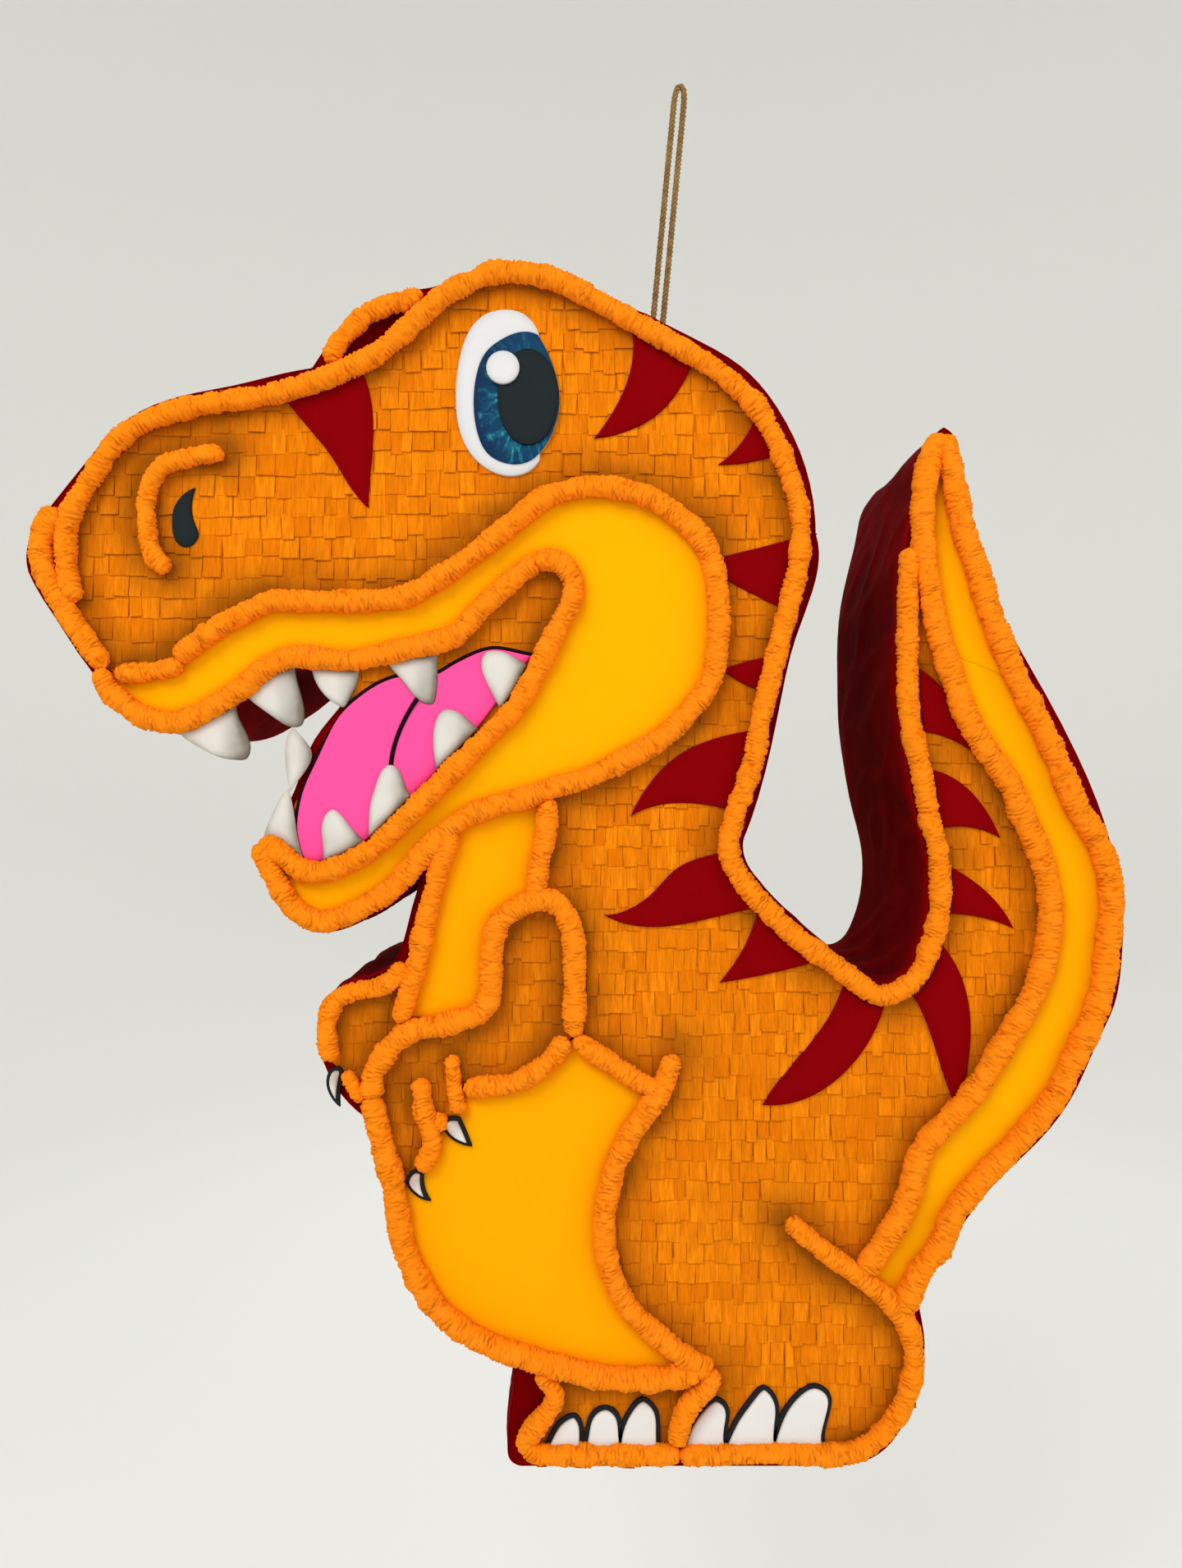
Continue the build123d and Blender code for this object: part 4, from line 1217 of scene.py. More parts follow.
    def build(self, rolls: RollMap, material: bpy.types.Material, name: str) -> bpy.types.Object:
        """Cut every piece of the node and hang them on the figure as one object.

        Args:
            rolls: where the rolls lie.
            material: the sheet's finish.
            name: the piece's name.

        Returns:
            The piece.
        """
        work = bmesh.new()
        layers = {key: work.verts.layers.float.new(key) for key in ("near_roll", "edge", "side")}
        fronts = loops_at(self.node, -1.0)
        backs = sorted(loops_at(self.node, 1.0))
        for depth, islands in fronts.items():
            back = min(y for y in backs if y > depth + 0.1 * MM)
            for loops in islands:
                self.island(work, loops, depth, back, rolls, layers)
        mesh = bpy.data.meshes.new(name)
        work.to_mesh(mesh)
        work.free()
        return new_piece(name, mesh, Body.FIGURE, material, [self.node])


# ---------------------------------------------------------------- paper fringe
@dataclass
class PaperFringe:
    """Rows of crepe paper tabs, each row over the top of the one below."""

    nodes: tuple[str, ...]
    finish: CrepeFringe = field(default_factory=CrepeFringe)
    tab_width: float = 10.5        # millimetres, on the head
    body_share: float = 0.78       # of that width, under the neck
    neck_drop: float = 0.25        # metres from the dowel down to the neck
    tab_drop: float = 15.5
    row_pitch: float = 12.6
    turn_spread: float = 3.4       # degrees
    lean: tuple[float, float] = (-0.04, 0.05)        # radians
    breadth: tuple[float, float] = (0.55, 1.3)       # shares of the tab's width
    lift: float = 0.25             # millimetres that a tab stands off at its top
    curl: float = 0.8              # millimetres more at its foot
    bow: float = 0.12
    paper: float = 0.25
    row_wave: float = 1.1
    wave_length: float = 47.0
    wave_shift: float = 31.0       # radians to the metre from row to row
    row_jitter: float = 0.35
    over: float = 4.0              # how far above the bed's top the first row may hang
    under: float = 2.0             # and below its foot the last
    drops: tuple[float, ...] = (1.0, 0.6, 0.35)      # shares tried until a tab fits
    tried_across: tuple[float, ...] = (-0.95, 0.0, 0.95)
    tried_down: tuple[float, ...] = (0.08, 0.5, 0.97)
    seed: int = 11
    airbrush: float = 24.0

    def tab(self) -> bpy.types.Object:
        """Build one tab of unit width and drop: a thin curled strip that hangs from its top.

        Returns:
            The tab's object, which is removed once the fringe is hung.
        """
        across, down = (-0.5, -0.46, 0.0, 0.46, 0.5), (0.0, -0.5, -0.96, -1.0)
        curled = (0.0, 0.5, 1.0, 1.0)
        work = bmesh.new()
        rim = work.verts.layers.float.new("rim")
        front, back = [], []
        for z, out in zip(down, curled):
            for x in across:
                bow = self.bow * MM * (1 - (2 * x) ** 2)
                y = -(self.lift + self.curl * out) * MM - bow
                near, far = work.verts.new((x, y, z)), work.verts.new((x, y + self.paper * MM, z))
                # rim is 1 on the side and foot edges and on the back, where the finish paints
                # shade
                near[rim] = 1.0 if abs(x) > 0.48 or z < -0.98 else 0.0
                far[rim] = 1.0
                front.append(near)
                back.append(far)
        columns = len(across)
        for i in range(len(down) - 1):
            for j in range(columns - 1):
                a, b = i * columns + j, i * columns + j + 1
                c, d = a + columns, b + columns
                work.faces.new((front[a], front[c], front[d], front[b]))
                work.faces.new((back[a], back[b], back[d], back[c]))
        ring = ([i for i in range(columns)]
                + [columns * (i + 1) - 1 for i in range(1, len(down))]
                + [columns * len(down) - 1 - j for j in range(1, columns)]
                + [columns * i for i in range(len(down) - 2, 0, -1)])
        for a, b in zip(ring, ring[1:] + ring[:1]):
            work.faces.new((front[a], front[b], back[b], back[a]))
        bmesh.ops.recalc_face_normals(work, faces=work.faces)
        mesh = bpy.data.meshes.new("paper_tab")
        work.to_mesh(mesh)
        work.free()
        tab = bpy.data.objects.new("paper_tab", mesh)
        bpy.context.scene.collection.objects.link(tab)
        return tab

    def tree(self) -> bpy.types.NodeTree:
        """Build the tree that hangs a tab from every point, each a little different.

        Returns:
            The tree.
        """
        tree, given = open_tree("paper_fringe", {
            "Tab": "NodeSocketObject", "Tab width": "NodeSocketFloat",
            "Tab drop": "NodeSocketFloat", "Turn spread": "NodeSocketFloat",
            "Seed": "NodeSocketInt", "Material": "NodeSocketMaterial"})
        maths = reckoner(tree)

        def chance(low: Source, high: Source, offset: int) -> bpy.types.NodeSocket:
            """A random number for each tab.

            Args:
                low: the least that it can be.
                high: the most that it can be.
                offset: what is added to the seed, different for each use.

            Returns:
                The number's socket.
            """
            seed = maths("ADD", given.outputs["Seed"], offset)
            return add_node(tree, "FunctionNodeRandomValue", {"data_type": "FLOAT"},
                            {2: low, 3: high, "Seed": seed}).outputs[1]

        spread = given.outputs["Turn spread"]
        turn = chance(maths("MULTIPLY", spread, -1.0), spread, 1)
        lean = chance(*self.lean, 2)
        width = maths("MULTIPLY", chance(0.9, 1.1, 3),
                      maths("MULTIPLY", given.outputs["Tab width"], carried(tree, "narrow")))
        drop = maths("MULTIPLY", chance(0.88, 1.08, 4),
                     maths("MULTIPLY", given.outputs["Tab drop"], carried(tree, "short")))
        rotation = add_node(tree, "ShaderNodeCombineXYZ", links={0: lean, 1: turn})
        scale = add_node(tree, "ShaderNodeCombineXYZ", links={0: width, 1: 1.0, 2: drop})
        shape = add_node(tree, "GeometryNodeObjectInfo", links={"Object": given.outputs["Tab"]})
        hung = add_node(tree, "GeometryNodeInstanceOnPoints", links={
            "Points": given.outputs["Geometry"], "Instance": shape.outputs["Geometry"],
            "Rotation": rotation.outputs[0], "Scale": scale.outputs[0]})
        toned = noted(tree, hung.outputs[0], "tone", chance(0.0, 1.0, 5), "INSTANCE")
        close_tree(tree, toned, given.outputs["Material"])
        return tree

    def ground(self, names: Iterable[str]) -> BVHTree:
        """Gather front faces, to test places on.

        Args:
            names: the CAD nodes whose faces they are.

        Returns:
            The faces as a tree that rays can be cast at.
        """
        corners, faces = [], []
        for node in names:
            mesh = frame["nodes"][node].data
            start = len(corners)
            corners += [v.co.copy() for v in mesh.vertices]
            faces += [[start + i for i in p.vertices] for p in mesh.polygons if p.normal.y < -0.99]
        return BVHTree.FromPolygons(corners, faces)

    def seats(self, node: str, rng: np.random.Generator) -> list[tuple[Vector, float, float]]:
        """Find where one node's tabs hang.

        Args:
            node: the CAD node of the fringe's bed.
            rng: the source of chance.

        Returns:
            For each tab its place, its share of the full width and its share of the drop.
        """
        bed = self.ground([node])
        around = self.ground([node, *ROLL_PLAN])

        def covered(tree: BVHTree, x: float, z: float) -> bool:
            """Whether a place lies on the ground."""
            return tree.ray_cast((x, -1.0, z), (0.0, 1.0, 0.0))[0] is not None

        low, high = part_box(node)
        found = []
        z = high[2] + self.over * MM
        while z > low[2] - self.under * MM:
            x = low[0] - rng.uniform(0.0, self.tab_width) * MM
            while x < high[0]:
                share = rng.uniform(*self.breadth)
                if z < DOWEL.z - self.neck_drop:
                    share *= self.body_share
                width = self.tab_width * share * MM
                wave = self.row_wave * MM * math.sin(x / (self.wave_length * MM)
                                                     + z * self.wave_shift)
                top = z + (wave + rng.normal(0.0, self.row_jitter) * MM)
                for narrow, left in ((1.0, 0.0), (0.5, 0.0), (0.5, 0.5)):
                    middle = x + (left + narrow / 2) * width
                    half = 0.5 * narrow * width
                    drop = self.tab_drop * MM
                    fits = False
                    for short in self.drops:
                        spots = [(middle + s * half, top - d * short * drop)
                                 for s in self.tried_across for d in self.tried_down]
                        if (all(covered(around, *spot) for spot in spots)
                                and any(covered(bed, *spot) for spot in spots)):
                            fits = True
                            break
                    if fits:
                        found.append((Vector((middle, BED, top)), narrow * share, short))
                        if narrow == 1.0:
                            break
                x += width
            z -= self.row_pitch * MM
        return found

    def build(self, rolls: RollMap) -> None:
        """Hang the tabs over every fringe bed and colour them by the rolls near them.

        Args:
            rolls: where the rolls lie.
        """
        material = self.finish.make()
        tree = self.tree()
        rng = np.random.default_rng(self.seed)
        tab = self.tab()
        for offset, node in enumerate(self.nodes):
            seats = self.seats(node, rng)
            points = bpy.data.meshes.new(node + "_seats")
            points.from_pydata([seat[0] for seat in seats], [], [])
            store(points, "narrow", np.array([seat[1] for seat in seats]))
            store(points, "short", np.array([seat[2] for seat in seats]))
            host = bpy.data.objects.new(node + "_seats", points)
            bpy.context.scene.collection.objects.link(host)
            mesh = run_tree(host, tree, {
                "Tab": tab, "Tab width": self.tab_width * MM, "Tab drop": self.tab_drop * MM,
                "Turn spread": math.radians(self.turn_spread), "Seed": self.seed + 10 * offset,
                "Material": material})
            where = places(mesh)
            gaps = np.array([rolls.clearance(float(x), float(z)) for x, _, z in where])
            store(mesh, "near_roll", np.clip(1.0 - gaps / (self.airbrush * MM), 0.0, 1.0) ** 1.3)
            new_piece("tabs_of_" + node, mesh, Body.FIGURE, material, smooth=False)
            self.dress_bed(node, material)
        bpy.data.objects.remove(tab)

    def dress_bed(self, node: str, material: bpy.types.Material) -> None:
        """Give the bed under the tabs the same paper."""
        for slot in frame["nodes"][node].material_slots:
            slot.material = material


# ---------------------------------------------------------------- crepe covers
@dataclass
class SideCover:
    """Crepe stretched round the box's edge, with shallow folds across its depth."""

    finish: RedCrepe = field(default_factory=RedCrepe)
    step: float = 4.0            # millimetres between points
    proud: float = 1.0           # millimetres that the cover stands off the card
    fold_depth: float = 2.2
    thickness: float = 0.6
    held_band: float = 22.0      # millimetres from either rim over which the folds fade
    painted_light_reach: float = 16.0    # millimetres behind the front that are brighter, with painted light
    slot_reach: tuple[float, float] = (17.0, 8.0)    # half of the rope's slot
    wave_scale: tuple[float, float, float] = (24.0, 7.0, 2.2)    # to the metre, here and below
    ridge_scale: tuple[float, float] = (30.0, 3.5)
    ridge_slant: tuple[float, float] = (16.0, 9.0)
    ridge_sharpness: float = 3.2
    wave_share: float = 0.5      # of the fold depth, here and below
    ridge_share: float = 0.7

    def fold(self, here: Vector, depth: float, run: float) -> float:
        """How high the crepe is lifted by its folds, in metres.

        Args:
            here: the place on the outline.
            depth: how deep in the box it is, in metres.
            run: how far round the outline it is, in metres.

        Returns:
            The height, 0 where the crepe is held at either rim.
        """
        flat, deep, along = self.wave_scale
        slow = noise.noise(Vector((here.x * flat, depth * deep + run * along, here.z * flat)))
        flat, deep = self.ridge_scale
        lean, rise = self.ridge_slant
        ridge = 1.0 - abs(noise.noise(Vector((here.x * flat + depth * lean, depth * deep,
                                              here.z * flat + depth * rise)))
                          * self.ridge_sharpness)
        hold = min(1.0, max(0.0, min(depth - FRONT, BACK - depth) / (self.held_band * MM)))
        return self.fold_depth * MM * hold * (self.wave_share * slow
                                              + self.ridge_share * max(0.0, ridge))

    def build(self) -> float:
        """Wrap the cover round and stand it in for its CAD node.

        Returns:
            The length round the outline, in metres.
        """
        loop = max((path for islands in loops_at("front_cover").values() for loops in islands
                    for path in loops), key=len)
        rim = evened(loop, self.step * MM)
        count = len(rim)
        length = sum((b - a).length for a, b in zip(rim, rim[1:] + rim[:1]))
        outward = []
        for i in range(count):
            run = rim[(i + 1) % count] - rim[i - 1]
            outward.append(Vector((-run.z, 0.0, run.x)).normalized())
        area = sum(a.x * b.z - b.x * a.z for a, b in zip(rim, rim[1:] + rim[:1]))
        sign = -1.0 if area > 0 else 1.0
        rows = int((BACK - FRONT) / (self.step * MM))
        depths = [FRONT + (BACK - FRONT) * j / rows for j in range(rows + 1)]
        work = bmesh.new()
        fold_shade_layer = work.verts.layers.float.new("fold")
        front_light_layer = work.verts.layers.float.new("near_front")
        grids = []
        along, runs = 0.0, []
        for i in range(count):
            runs.append(along)
            along += (rim[(i + 1) % count] - rim[i]).length
        for inset in (0.0, self.thickness):
            grid = []
            for here, out, run in zip(rim, outward, runs):
                line = []
                for depth in depths:
                    height = self.fold(here, depth, run)
                    place = here + out * sign * (self.proud * MM + height - inset * MM)
                    vert = work.verts.new((place.x, depth, place.z))
                    # painted shade: high where the crepe lies low between its folds
                    vert[fold_shade_layer] = max(0.0, min(1.0, 0.55 - height / (self.fold_depth * MM)))
                    # painted light: high on the strip nearest the front
                    vert[front_light_layer] = max(0.0, 1.0 - (depth - FRONT) / (self.painted_light_reach * MM))
                    line.append(vert)
                grid.append(line)
            grids.append(grid)

        def open_here(i: int, j: int) -> bool:
            """Whether a cell is in the slot that the rope comes out of.

            Args:
                i: its place round the outline.
                j: its place in the depth.

            Returns:
                True inside the slot.
            """
            here = rim[i]
            middle = (depths[j] + depths[j + 1]) / 2
            reach = math.hypot((here.x - DOWEL.x) / self.slot_reach[0],
                               middle / self.slot_reach[1])
            return here.z > DOWEL.z and reach < MM

        outer, inner = grids
        for i in range(count):
            k = (i + 1) % count
            for j in range(rows):
                if open_here(i, j):
                    continue
                work.faces.new((outer[i][j], outer[k][j], outer[k][j + 1], outer[i][j + 1]))
                work.faces.new((inner[i][j], inner[i][j + 1], inner[k][j + 1], inner[k][j]))
        for i in range(count):
            k = (i + 1) % count
            work.faces.new((outer[i][0], inner[i][0], inner[k][0], outer[k][0]))
            work.faces.new((outer[i][rows], outer[k][rows], inner[k][rows], inner[i][rows]))
        gone = [v for v in work.verts if not v.link_faces]
        bmesh.ops.delete(work, geom=gone, context="VERTS")
        bmesh.ops.recalc_face_normals(work, faces=work.faces)
        mesh = bpy.data.meshes.new("side_crepe")
        work.to_mesh(mesh)
        work.free()
        cover = new_piece("side_crepe", mesh, Body.FIGURE, self.finish.make(),
                          ["side_cover"])
        return length


# ---------------------------------------------------------------- rope
@dataclass
class JuteRope:
    """The doubled jute rope: three plies laid round one another along its route."""

    route: tuple[tuple[float, float, float], ...] = (
        (-0.02211, 0.0, -0.19444), (-0.01300, 0.0, -0.09960), (-0.00552, 0.0, -0.02190),
        (-0.00306, 0.0, 0.00371), (0.00371, 0.0, 0.00306), (0.00125, 0.0, -0.02255),
        (-0.00623, 0.0, -0.10030), (-0.01534, 0.0, -0.19509))
    length: float = 0.402
    diameter: float = 0.004
    plies: int = 3
    lay: float = 9.0            # millimetres for one turn of a ply
    ply_share: float = 0.61     # a ply's own radius, as a share of the rope's
    off_share: float = 0.5      # how far a ply's middle lies off the rope's, likewise
    sides: int = 9
    step: float = 0.7           # millimetres between rings
    finish: JuteTwine = field(default_factory=JuteTwine)
    hairs: int = 170
    seed: int = 5

    def line(self) -> list[Vector]:
        """Follow the route's smooth spline.

        Returns:
            Points close together on it.
        """
        curve = bpy.data.curves.new("rope_route", "CURVE")
        curve.dimensions = "3D"
        curve.resolution_u = 40
        spline = curve.splines.new("NURBS")
        spline.points.add(len(self.route) - 1)
        for point, place in zip(spline.points, self.route):
            point.co = (*place, 1.0)
        spline.order_u = 3
        spline.use_endpoint_u = True
        host = bpy.data.objects.new("rope_route", curve)
        bpy.context.scene.collection.objects.link(host)
        mesh = evaluated(host)
        found = [v.co.copy() for v in mesh.vertices]
        bpy.data.meshes.remove(mesh)
        return found

    def strands(self, work: bmesh.types.BMesh, path: list[Vector]) -> None:
        """Lay the plies round the path and give them stray fibres.

        Args:
            work: the mesh that they join.
            path: points along the rope's middle.
        """
        step = self.step * MM
        spots, runs, total = [path[0]], [0.0], 0.0
        for a, b in zip(path, path[1:]):
            gap = (b - a).length
            count = max(1, round(gap / step))
            for i in range(1, count + 1):
                spots.append(a.lerp(b, i / count))
                runs.append(total + gap * i / count)
            total += gap
        radius = self.diameter / 2
        ply, off = radius * self.ply_share, radius * self.off_share
        side = Vector((0.0, 1.0, 0.0))
        for k in range(self.plies):
            rings = []
            for i, (spot, run) in enumerate(zip(spots, runs)):
                ahead = spots[min(i + 1, len(spots) - 1)] - spots[max(i - 1, 0)]
                ahead.normalize()
                other = ahead.cross(side).normalized()
                turn = math.tau * (run / (self.lay * MM) + k / self.plies)
                uneven = 1.0 + 0.1 * noise.noise(Vector((run * 300, k * 7.0, 0.0)))
                middle = spot + (side * math.cos(turn) + other * math.sin(turn)) * off * uneven
                rings.append([work.verts.new(middle + (side * math.cos(a) + other * math.sin(a))
                                             * ply * uneven)
                              for a in (math.tau * n / self.sides for n in range(self.sides))])
            for first, second in zip(rings, rings[1:]):
                for n in range(self.sides):
                    m = (n + 1) % self.sides
                    work.faces.new((first[n], second[n], second[m], first[m]))
            work.faces.new(rings[0])
            work.faces.new(rings[-1][::-1])
        rng = np.random.default_rng(self.seed)
        for _ in range(self.hairs):
            spot = spots[int(rng.integers(2, len(spots) - 2))]
            out = Vector(rng.normal(size=3))
            out.z = abs(out.z) * 0.7
            out.normalize()
            root = spot + Vector((out.x, out.y, 0.0)).normalized() * radius * 0.8
            tip = root + out * float(rng.uniform(0.8, 2.4)) * MM
            width = Vector((out.z, 0.3, -out.x)).normalized() * 0.07 * MM
            deep = out.cross(width).normalized() * 0.07 * MM
            base = [work.verts.new(root + w) for w in (width, deep, -width, -deep)]
            end = work.verts.new(tip)
            for a, b in zip(base, base[1:] + base[:1]):
                work.faces.new((a, b, end))
            work.faces.new(base[::-1])
        bmesh.ops.recalc_face_normals(work, faces=work.faces)

    def build(self) -> None:
        material = self.finish.make()
        path = self.line()
        work = bmesh.new()
        self.strands(work, path)
        mesh = bpy.data.meshes.new("jute_rope")
        work.to_mesh(mesh)
        work.free()
        rope = new_piece("jute_rope", mesh, Body.ROPE, material, ["hanging_rope"])
        frame["nodes"]["rope_hitch"].data.materials.clear()
        frame["nodes"]["rope_hitch"].data.materials.append(material)


# ---------------------------------------------------------------- the figure
@dataclass
class FoamParts:
    """Every flat foam piece of the front, with its finish."""

    rolls: RollMap

    def cut(self, node: str, slot: Slot, finish: CraftFoam | PaintedIris | bpy.types.Material,
            name: str, **cutting: float | Callable) -> bpy.types.Object:
        """Cut one node from its sheet.

        Args:
            node: the CAD node.
            slot: the record's slot.
            finish: its finish, or a material that is made already.
            name: the piece's name.
            **cutting: the values of CutSheet that it needs.

        Returns:
            The piece.
        """
        material = finish if isinstance(finish, bpy.types.Material) else finish.make()
        return CutSheet(node, slot, **cutting).build(self.rolls, material, name)

    def panels(self) -> None:
        """The yellow panels, airbrushed orange along the rolls."""
        head = CraftFoam("yellow_eva_foam", "#FFB400", "#F08A06", 0.8, strength=0.7,
                         mottle="#FFAE00").make()
        body = CraftFoam("amber_eva_foam", "#FFAC00", "#EE7E04", 0.8, strength=0.7,
                         mottle="#FFA600").make()
        cutting = {"grain": 3.5, "rounding": 0.5, "airbrush": 4.5}
        for node, material in (("jaw_panel", head), ("chest_panel", body), ("belly_panel", body)):
            self.cut(node, Slot.YELLOW, material, node + "_foam", **cutting)
        self.cut("tail_panel", Slot.YELLOW, head, "tail_panel_foam", proud=0.3,
                 reshape=longer_tail, **cutting)

    def stripes(self) -> None:
        """The dark red stripes."""
        red = CraftFoam("dark_red_eva_foam", "#860006", "#680004", 0.9, "edge", 0.25, "#7C0005")
        self.cut("stripes", Slot.RED, red, "stripe_foam", grain=6.0, rounding=0.7, proud=0.5)

    def mouth(self) -> None:
        """Teeth, tongue and its outline."""
        # the teeth's darker tone is painted shade, laid by the shadow attribute
        enamel = CraftFoam("white_tooth_foam", "#DEDAD4", "#7A7264", 0.8, "shadow", 0.95,
                           "#D4CFC6").make()
        for node in ("upper_teeth", "lower_teeth"):
            self.shadow(self.cut(node, Slot.WHITE, enamel, node + "_foam", grain=2.0,
                                 rounding=1.8, crown=1.2, crown_reach=9.0))
        pink = CraftFoam("pink_eva_foam", "#FF54A0", "#E0307E", 0.75, "near_roll", 0.8, "#FF4E9A")
        self.cut("tongue", Slot.PINK, pink, "tongue_foam", grain=3.0, rounding=0.9, crown=1.0,
                 airbrush=5.0)
        black = CraftFoam("black_eva_foam", "#1E0A12", "#0C0408", 0.6, "edge", 0.2)
        self.cut("tongue_outline", Slot.BLACK, black, "tongue_edge_foam", grain=5.0,
                 rounding=0.3, proud=0.9)

    def shadow(self, teeth: bpy.types.Object) -> None:
        """Paint shade on each tooth: on its right side, along its edge and at its root beside the
        rolls.

        Args:
            teeth: the piece of teeth.
        """
        mesh = teeth.data
        where = places(mesh)
        side = np.array([d.value for d in mesh.attributes["side"].data])
        edge = np.array([d.value for d in mesh.attributes["edge"].data])
        cloud = np.array([noise.noise(Vector(p) * 60.0) for p in where])
        reach = np.clip((side - 0.5) / 0.5, 0.0, 1.0) * 0.8 + edge * 0.4 + cloud * 0.25
        near = np.array([self.rolls.clearance(float(x), float(z)) for x, _, z in where])
        reach += np.clip(1.0 - near / (6 * MM), 0.0, 1.0) * 0.5
        store(mesh, "shadow", np.clip(reach, 0.0, 1.0))

    def eye(self) -> None:
        """The white, the painted iris, the pupil and the highlight, and the nostril."""
        white = CraftFoam("white_eye_foam", "#DEDEE0", "#A8A6A6", 0.8, "edge", 0.35,
                          "#D8D8DA").make()
        self.cut("eye_white", Slot.WHITE, white, "eye_white_foam", grain=3.0, rounding=0.8,
                 crown=0.4, edge_reach=5.0, proud=0.4)
        iris = self.cut("iris", Slot.BLUE, PaintedIris(), "iris_foam", grain=1.6, rounding=0.6)
        low, high = (np.array(corner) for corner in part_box("pupil"))
        half = (high - low) / 2
        where = (places(iris.data) - (low + high) / 2) / np.array([half[0], 1.0, half[2]])
        store(iris.data, "around", np.arctan2(where[:, 2], where[:, 0]) / math.tau)
        store(iris.data, "outward", np.hypot(where[:, 0], where[:, 2]) - 1.0)
        store(iris.data, "lower_left", np.clip(0.62 - 0.6 * where[:, 0] - 0.35 * where[:, 2],
                                               0.0, 1.0))
        black = CraftFoam("pupil_foam", "#22292B", "#161C1E", 0.6, "edge", 0.4, "#282E31").make()
        self.cut("pupil", Slot.BLACK, black, "pupil_foam", grain=3.0, rounding=0.6)
        self.cut("nostril", Slot.BLACK, black, "nostril_foam", grain=3.0, rounding=0.7, proud=0.5)
        self.cut("eye_highlight", Slot.WHITE, white, "eye_highlight_foam", grain=2.0,
                 rounding=0.7)

    def claws(self) -> None:
        """White claws on black outlines."""
        black = CraftFoam("claw_edge_foam", "#26282A", "#16181A", 0.6, "edge", 0.3)
        self.cut("claw_outlines", Slot.BLACK, black, "claw_edge_foam", grain=4.0, rounding=0.4,
                 proud=1.0, reshape=wider_toe)
        white = CraftFoam("white_claw_foam", "#E6E4E2", "#B8A498", 0.7, "near_roll", 0.9,
                          "#DEDCDA")
        self.cut("claws", Slot.WHITE, white, "claw_foam", grain=2.5, rounding=0.9, crown=0.8,
                 crown_reach=7.0, airbrush=9.0, proud=1.0, reshape=wider_toe)

    def build(self) -> None:
        """Cut all of them."""
        self.panels()
        self.stripes()
        self.mouth()
        self.eye()
        self.claws()


@dataclass
class CardBox:
    """The card, wood, tape and plain crepe that keep their CAD shapes."""

    red: RedCrepe = field(default_factory=lambda: RedCrepe("red_crepe_front"))

    def dress(self) -> None:
        """Give each of these nodes its finish."""
        finishes = {
            Slot.CARD: KraftCard().make(),
            Slot.CREPE: self.red.make(),
            Slot.WOOD: BeechDowel().make(),
            Slot.TAPE: GummedTape().make(),
        }
        for part in frame["record"]["subparts"]:
            slot = Slot(part["material_slot"])
            if slot in finishes:
                for place in frame["nodes"][part["node"]].material_slots:
                    place.material = finishes[slot]


# ---------------------------------------------------------------- studio
@dataclass(frozen=True)
class Lamp:
    """One soft square panel of light: its size in metres and its power in watts."""

    name: str
    place: tuple[float, float, float]
    size: float
    power: float

    def hang(self, aim: Vector) -> None:
        """Hang it and turn it to a place.

        Args:
            aim: the place that it faces.
        """
        data = bpy.data.lights.new(self.name, "AREA")
        data.shape = "SQUARE"
        data.size = self.size
        data.energy = self.power
        lamp = bpy.data.objects.new(self.name, data)
        lamp.location = self.place
        lamp.rotation_euler = (aim - lamp.location).to_track_quat("-Z", "Y").to_euler()
        bpy.context.scene.collection.objects.link(lamp)


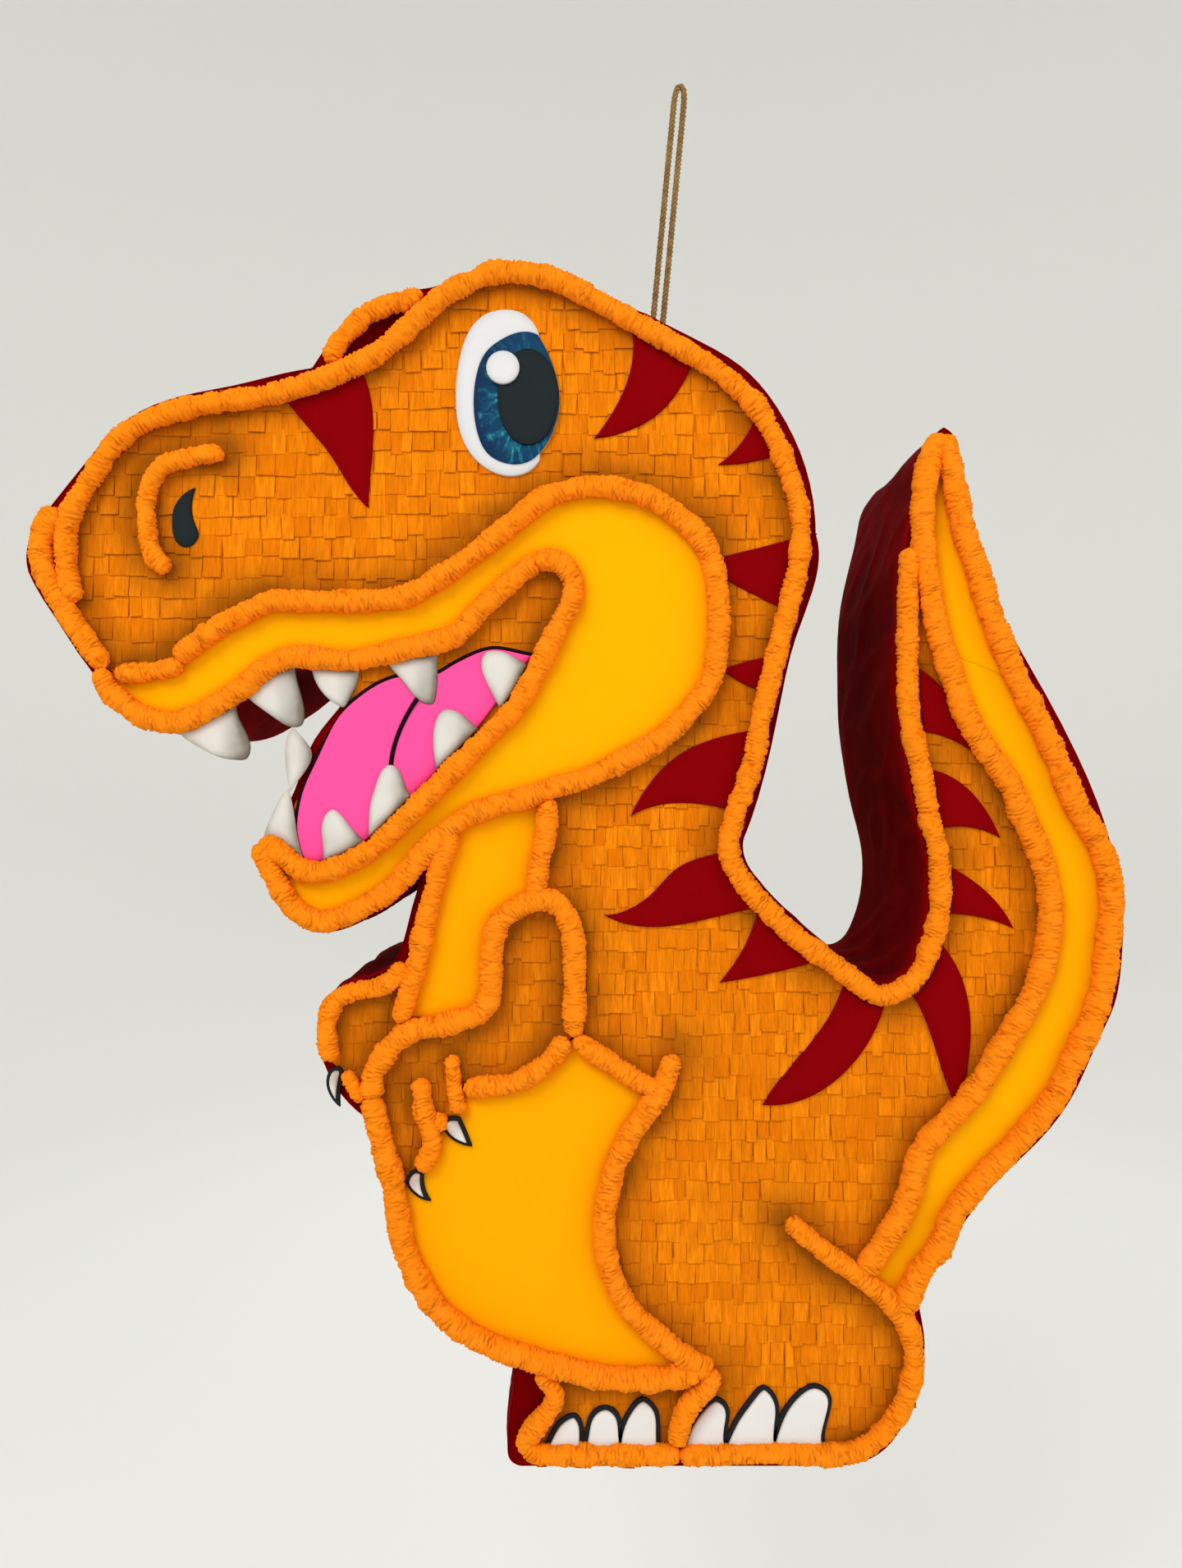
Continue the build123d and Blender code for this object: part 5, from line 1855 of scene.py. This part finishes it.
@dataclass
class Studio:
    """The camera, a pale floor and soft light."""

    lens: float = 26.0
    sensor: float = 36.0
    floor_drop: float = 0.4        # metres from the sole to the floor
    room: float = 3.6
    cove: float = 1.4
    wall: float = 6.0
    lamps: tuple[Lamp, ...] = (Lamp("key", (-0.9, -1.7, 0.9), 1.1, 24.0),
                               Lamp("fill", (1.6, -1.5, 0.1), 1.5, 11.0),
                               Lamp("rim", (0.2, 1.8, 0.7), 1.6, 14.0))
    aim: tuple[float, float, float] = (-0.06, 0.0, -0.5)
    glow: float = 0.24             # what the wall gives out by itself
    sky: float = 0.57

    def camera(self) -> None:
        """Look straight at the front."""
        data = bpy.data.cameras.new("camera")
        data.sensor_fit = "VERTICAL"
        data.sensor_height = self.sensor
        data.lens = self.lens
        data.clip_start = 0.01
        camera = bpy.data.objects.new("camera", data)
        camera.location = VIEW_POINT
        camera.rotation_euler = (math.pi / 2, 0.0, 0.0)
        bpy.context.scene.collection.objects.link(camera)
        bpy.context.scene.camera = camera

    def floor(self) -> None:
        """Lay a pale round floor that turns up into a wall."""
        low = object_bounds()[0][2] - self.floor_drop
        turns, steps = 64, 10
        profile = [(0.0, low), (self.room - self.cove, low)]
        profile += [(self.room - self.cove + self.cove * math.sin(a),
                     low + self.cove * (1 - math.cos(a)))
                    for a in (math.pi / 2 * i / steps for i in range(1, steps + 1))]
        profile.append((self.room, low + self.wall))
        corners = [(r * math.cos(math.tau * k / turns), r * math.sin(math.tau * k / turns), z)
                   for r, z in profile for k in range(turns)]
        faces = [(i * turns + k, i * turns + (k + 1) % turns,
                  (i + 1) * turns + (k + 1) % turns, (i + 1) * turns + k)
                 for i in range(len(profile) - 1) for k in range(turns)]
        mesh = bpy.data.meshes.new("floor")
        mesh.from_pydata(corners, [], faces)
        mesh.shade_smooth()
        floor = bpy.data.objects.new("floor", mesh)
        bpy.context.scene.collection.objects.link(floor)
        shade = Shade("pale_floor", roughness=0.9, specular=0.1)
        shade.colour(paint("#DCDCD9"))
        shade.shader.inputs["Emission Color"].default_value = paint("#E2E2DE")
        shade.shader.inputs["Emission Strength"].default_value = self.glow
        mesh.materials.append(shade.material)
        floor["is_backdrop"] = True

    def build(self) -> None:
        """Set the studio up."""
        self.camera()
        bpy.context.scene.view_settings.view_transform = "Standard"
        for lamp in self.lamps:
            lamp.hang(Vector(self.aim))
        world = bpy.data.worlds.new("room")
        world.use_nodes = True
        sky = world.node_tree.nodes["Background"]
        sky.inputs["Color"].default_value = paint("#E4E4E2")
        sky.inputs["Strength"].default_value = self.sky
        bpy.context.scene.world = world
        self.floor()


def main() -> None:
    """Build the pieces in order."""
    logging.basicConfig(level=logging.INFO, format="%(name)s %(message)s")
    Studio().build()
    JuteRope().build()
    rolls = RollMap(ROLL_PLAN)
    CardBox().dress()
    length = SideCover().build()
    log.info("side cover is %.3f m long", length)
    GatheredRolls(ROLL_PLAN).build()
    PaperFringe(("body_fringe", "mouth_fringe", "near_arm_fringe", "far_arm_fringe",
                 "foot_fringe")).build(rolls)
    FoamParts(rolls).build()


if __name__ == "__main__":
    main()
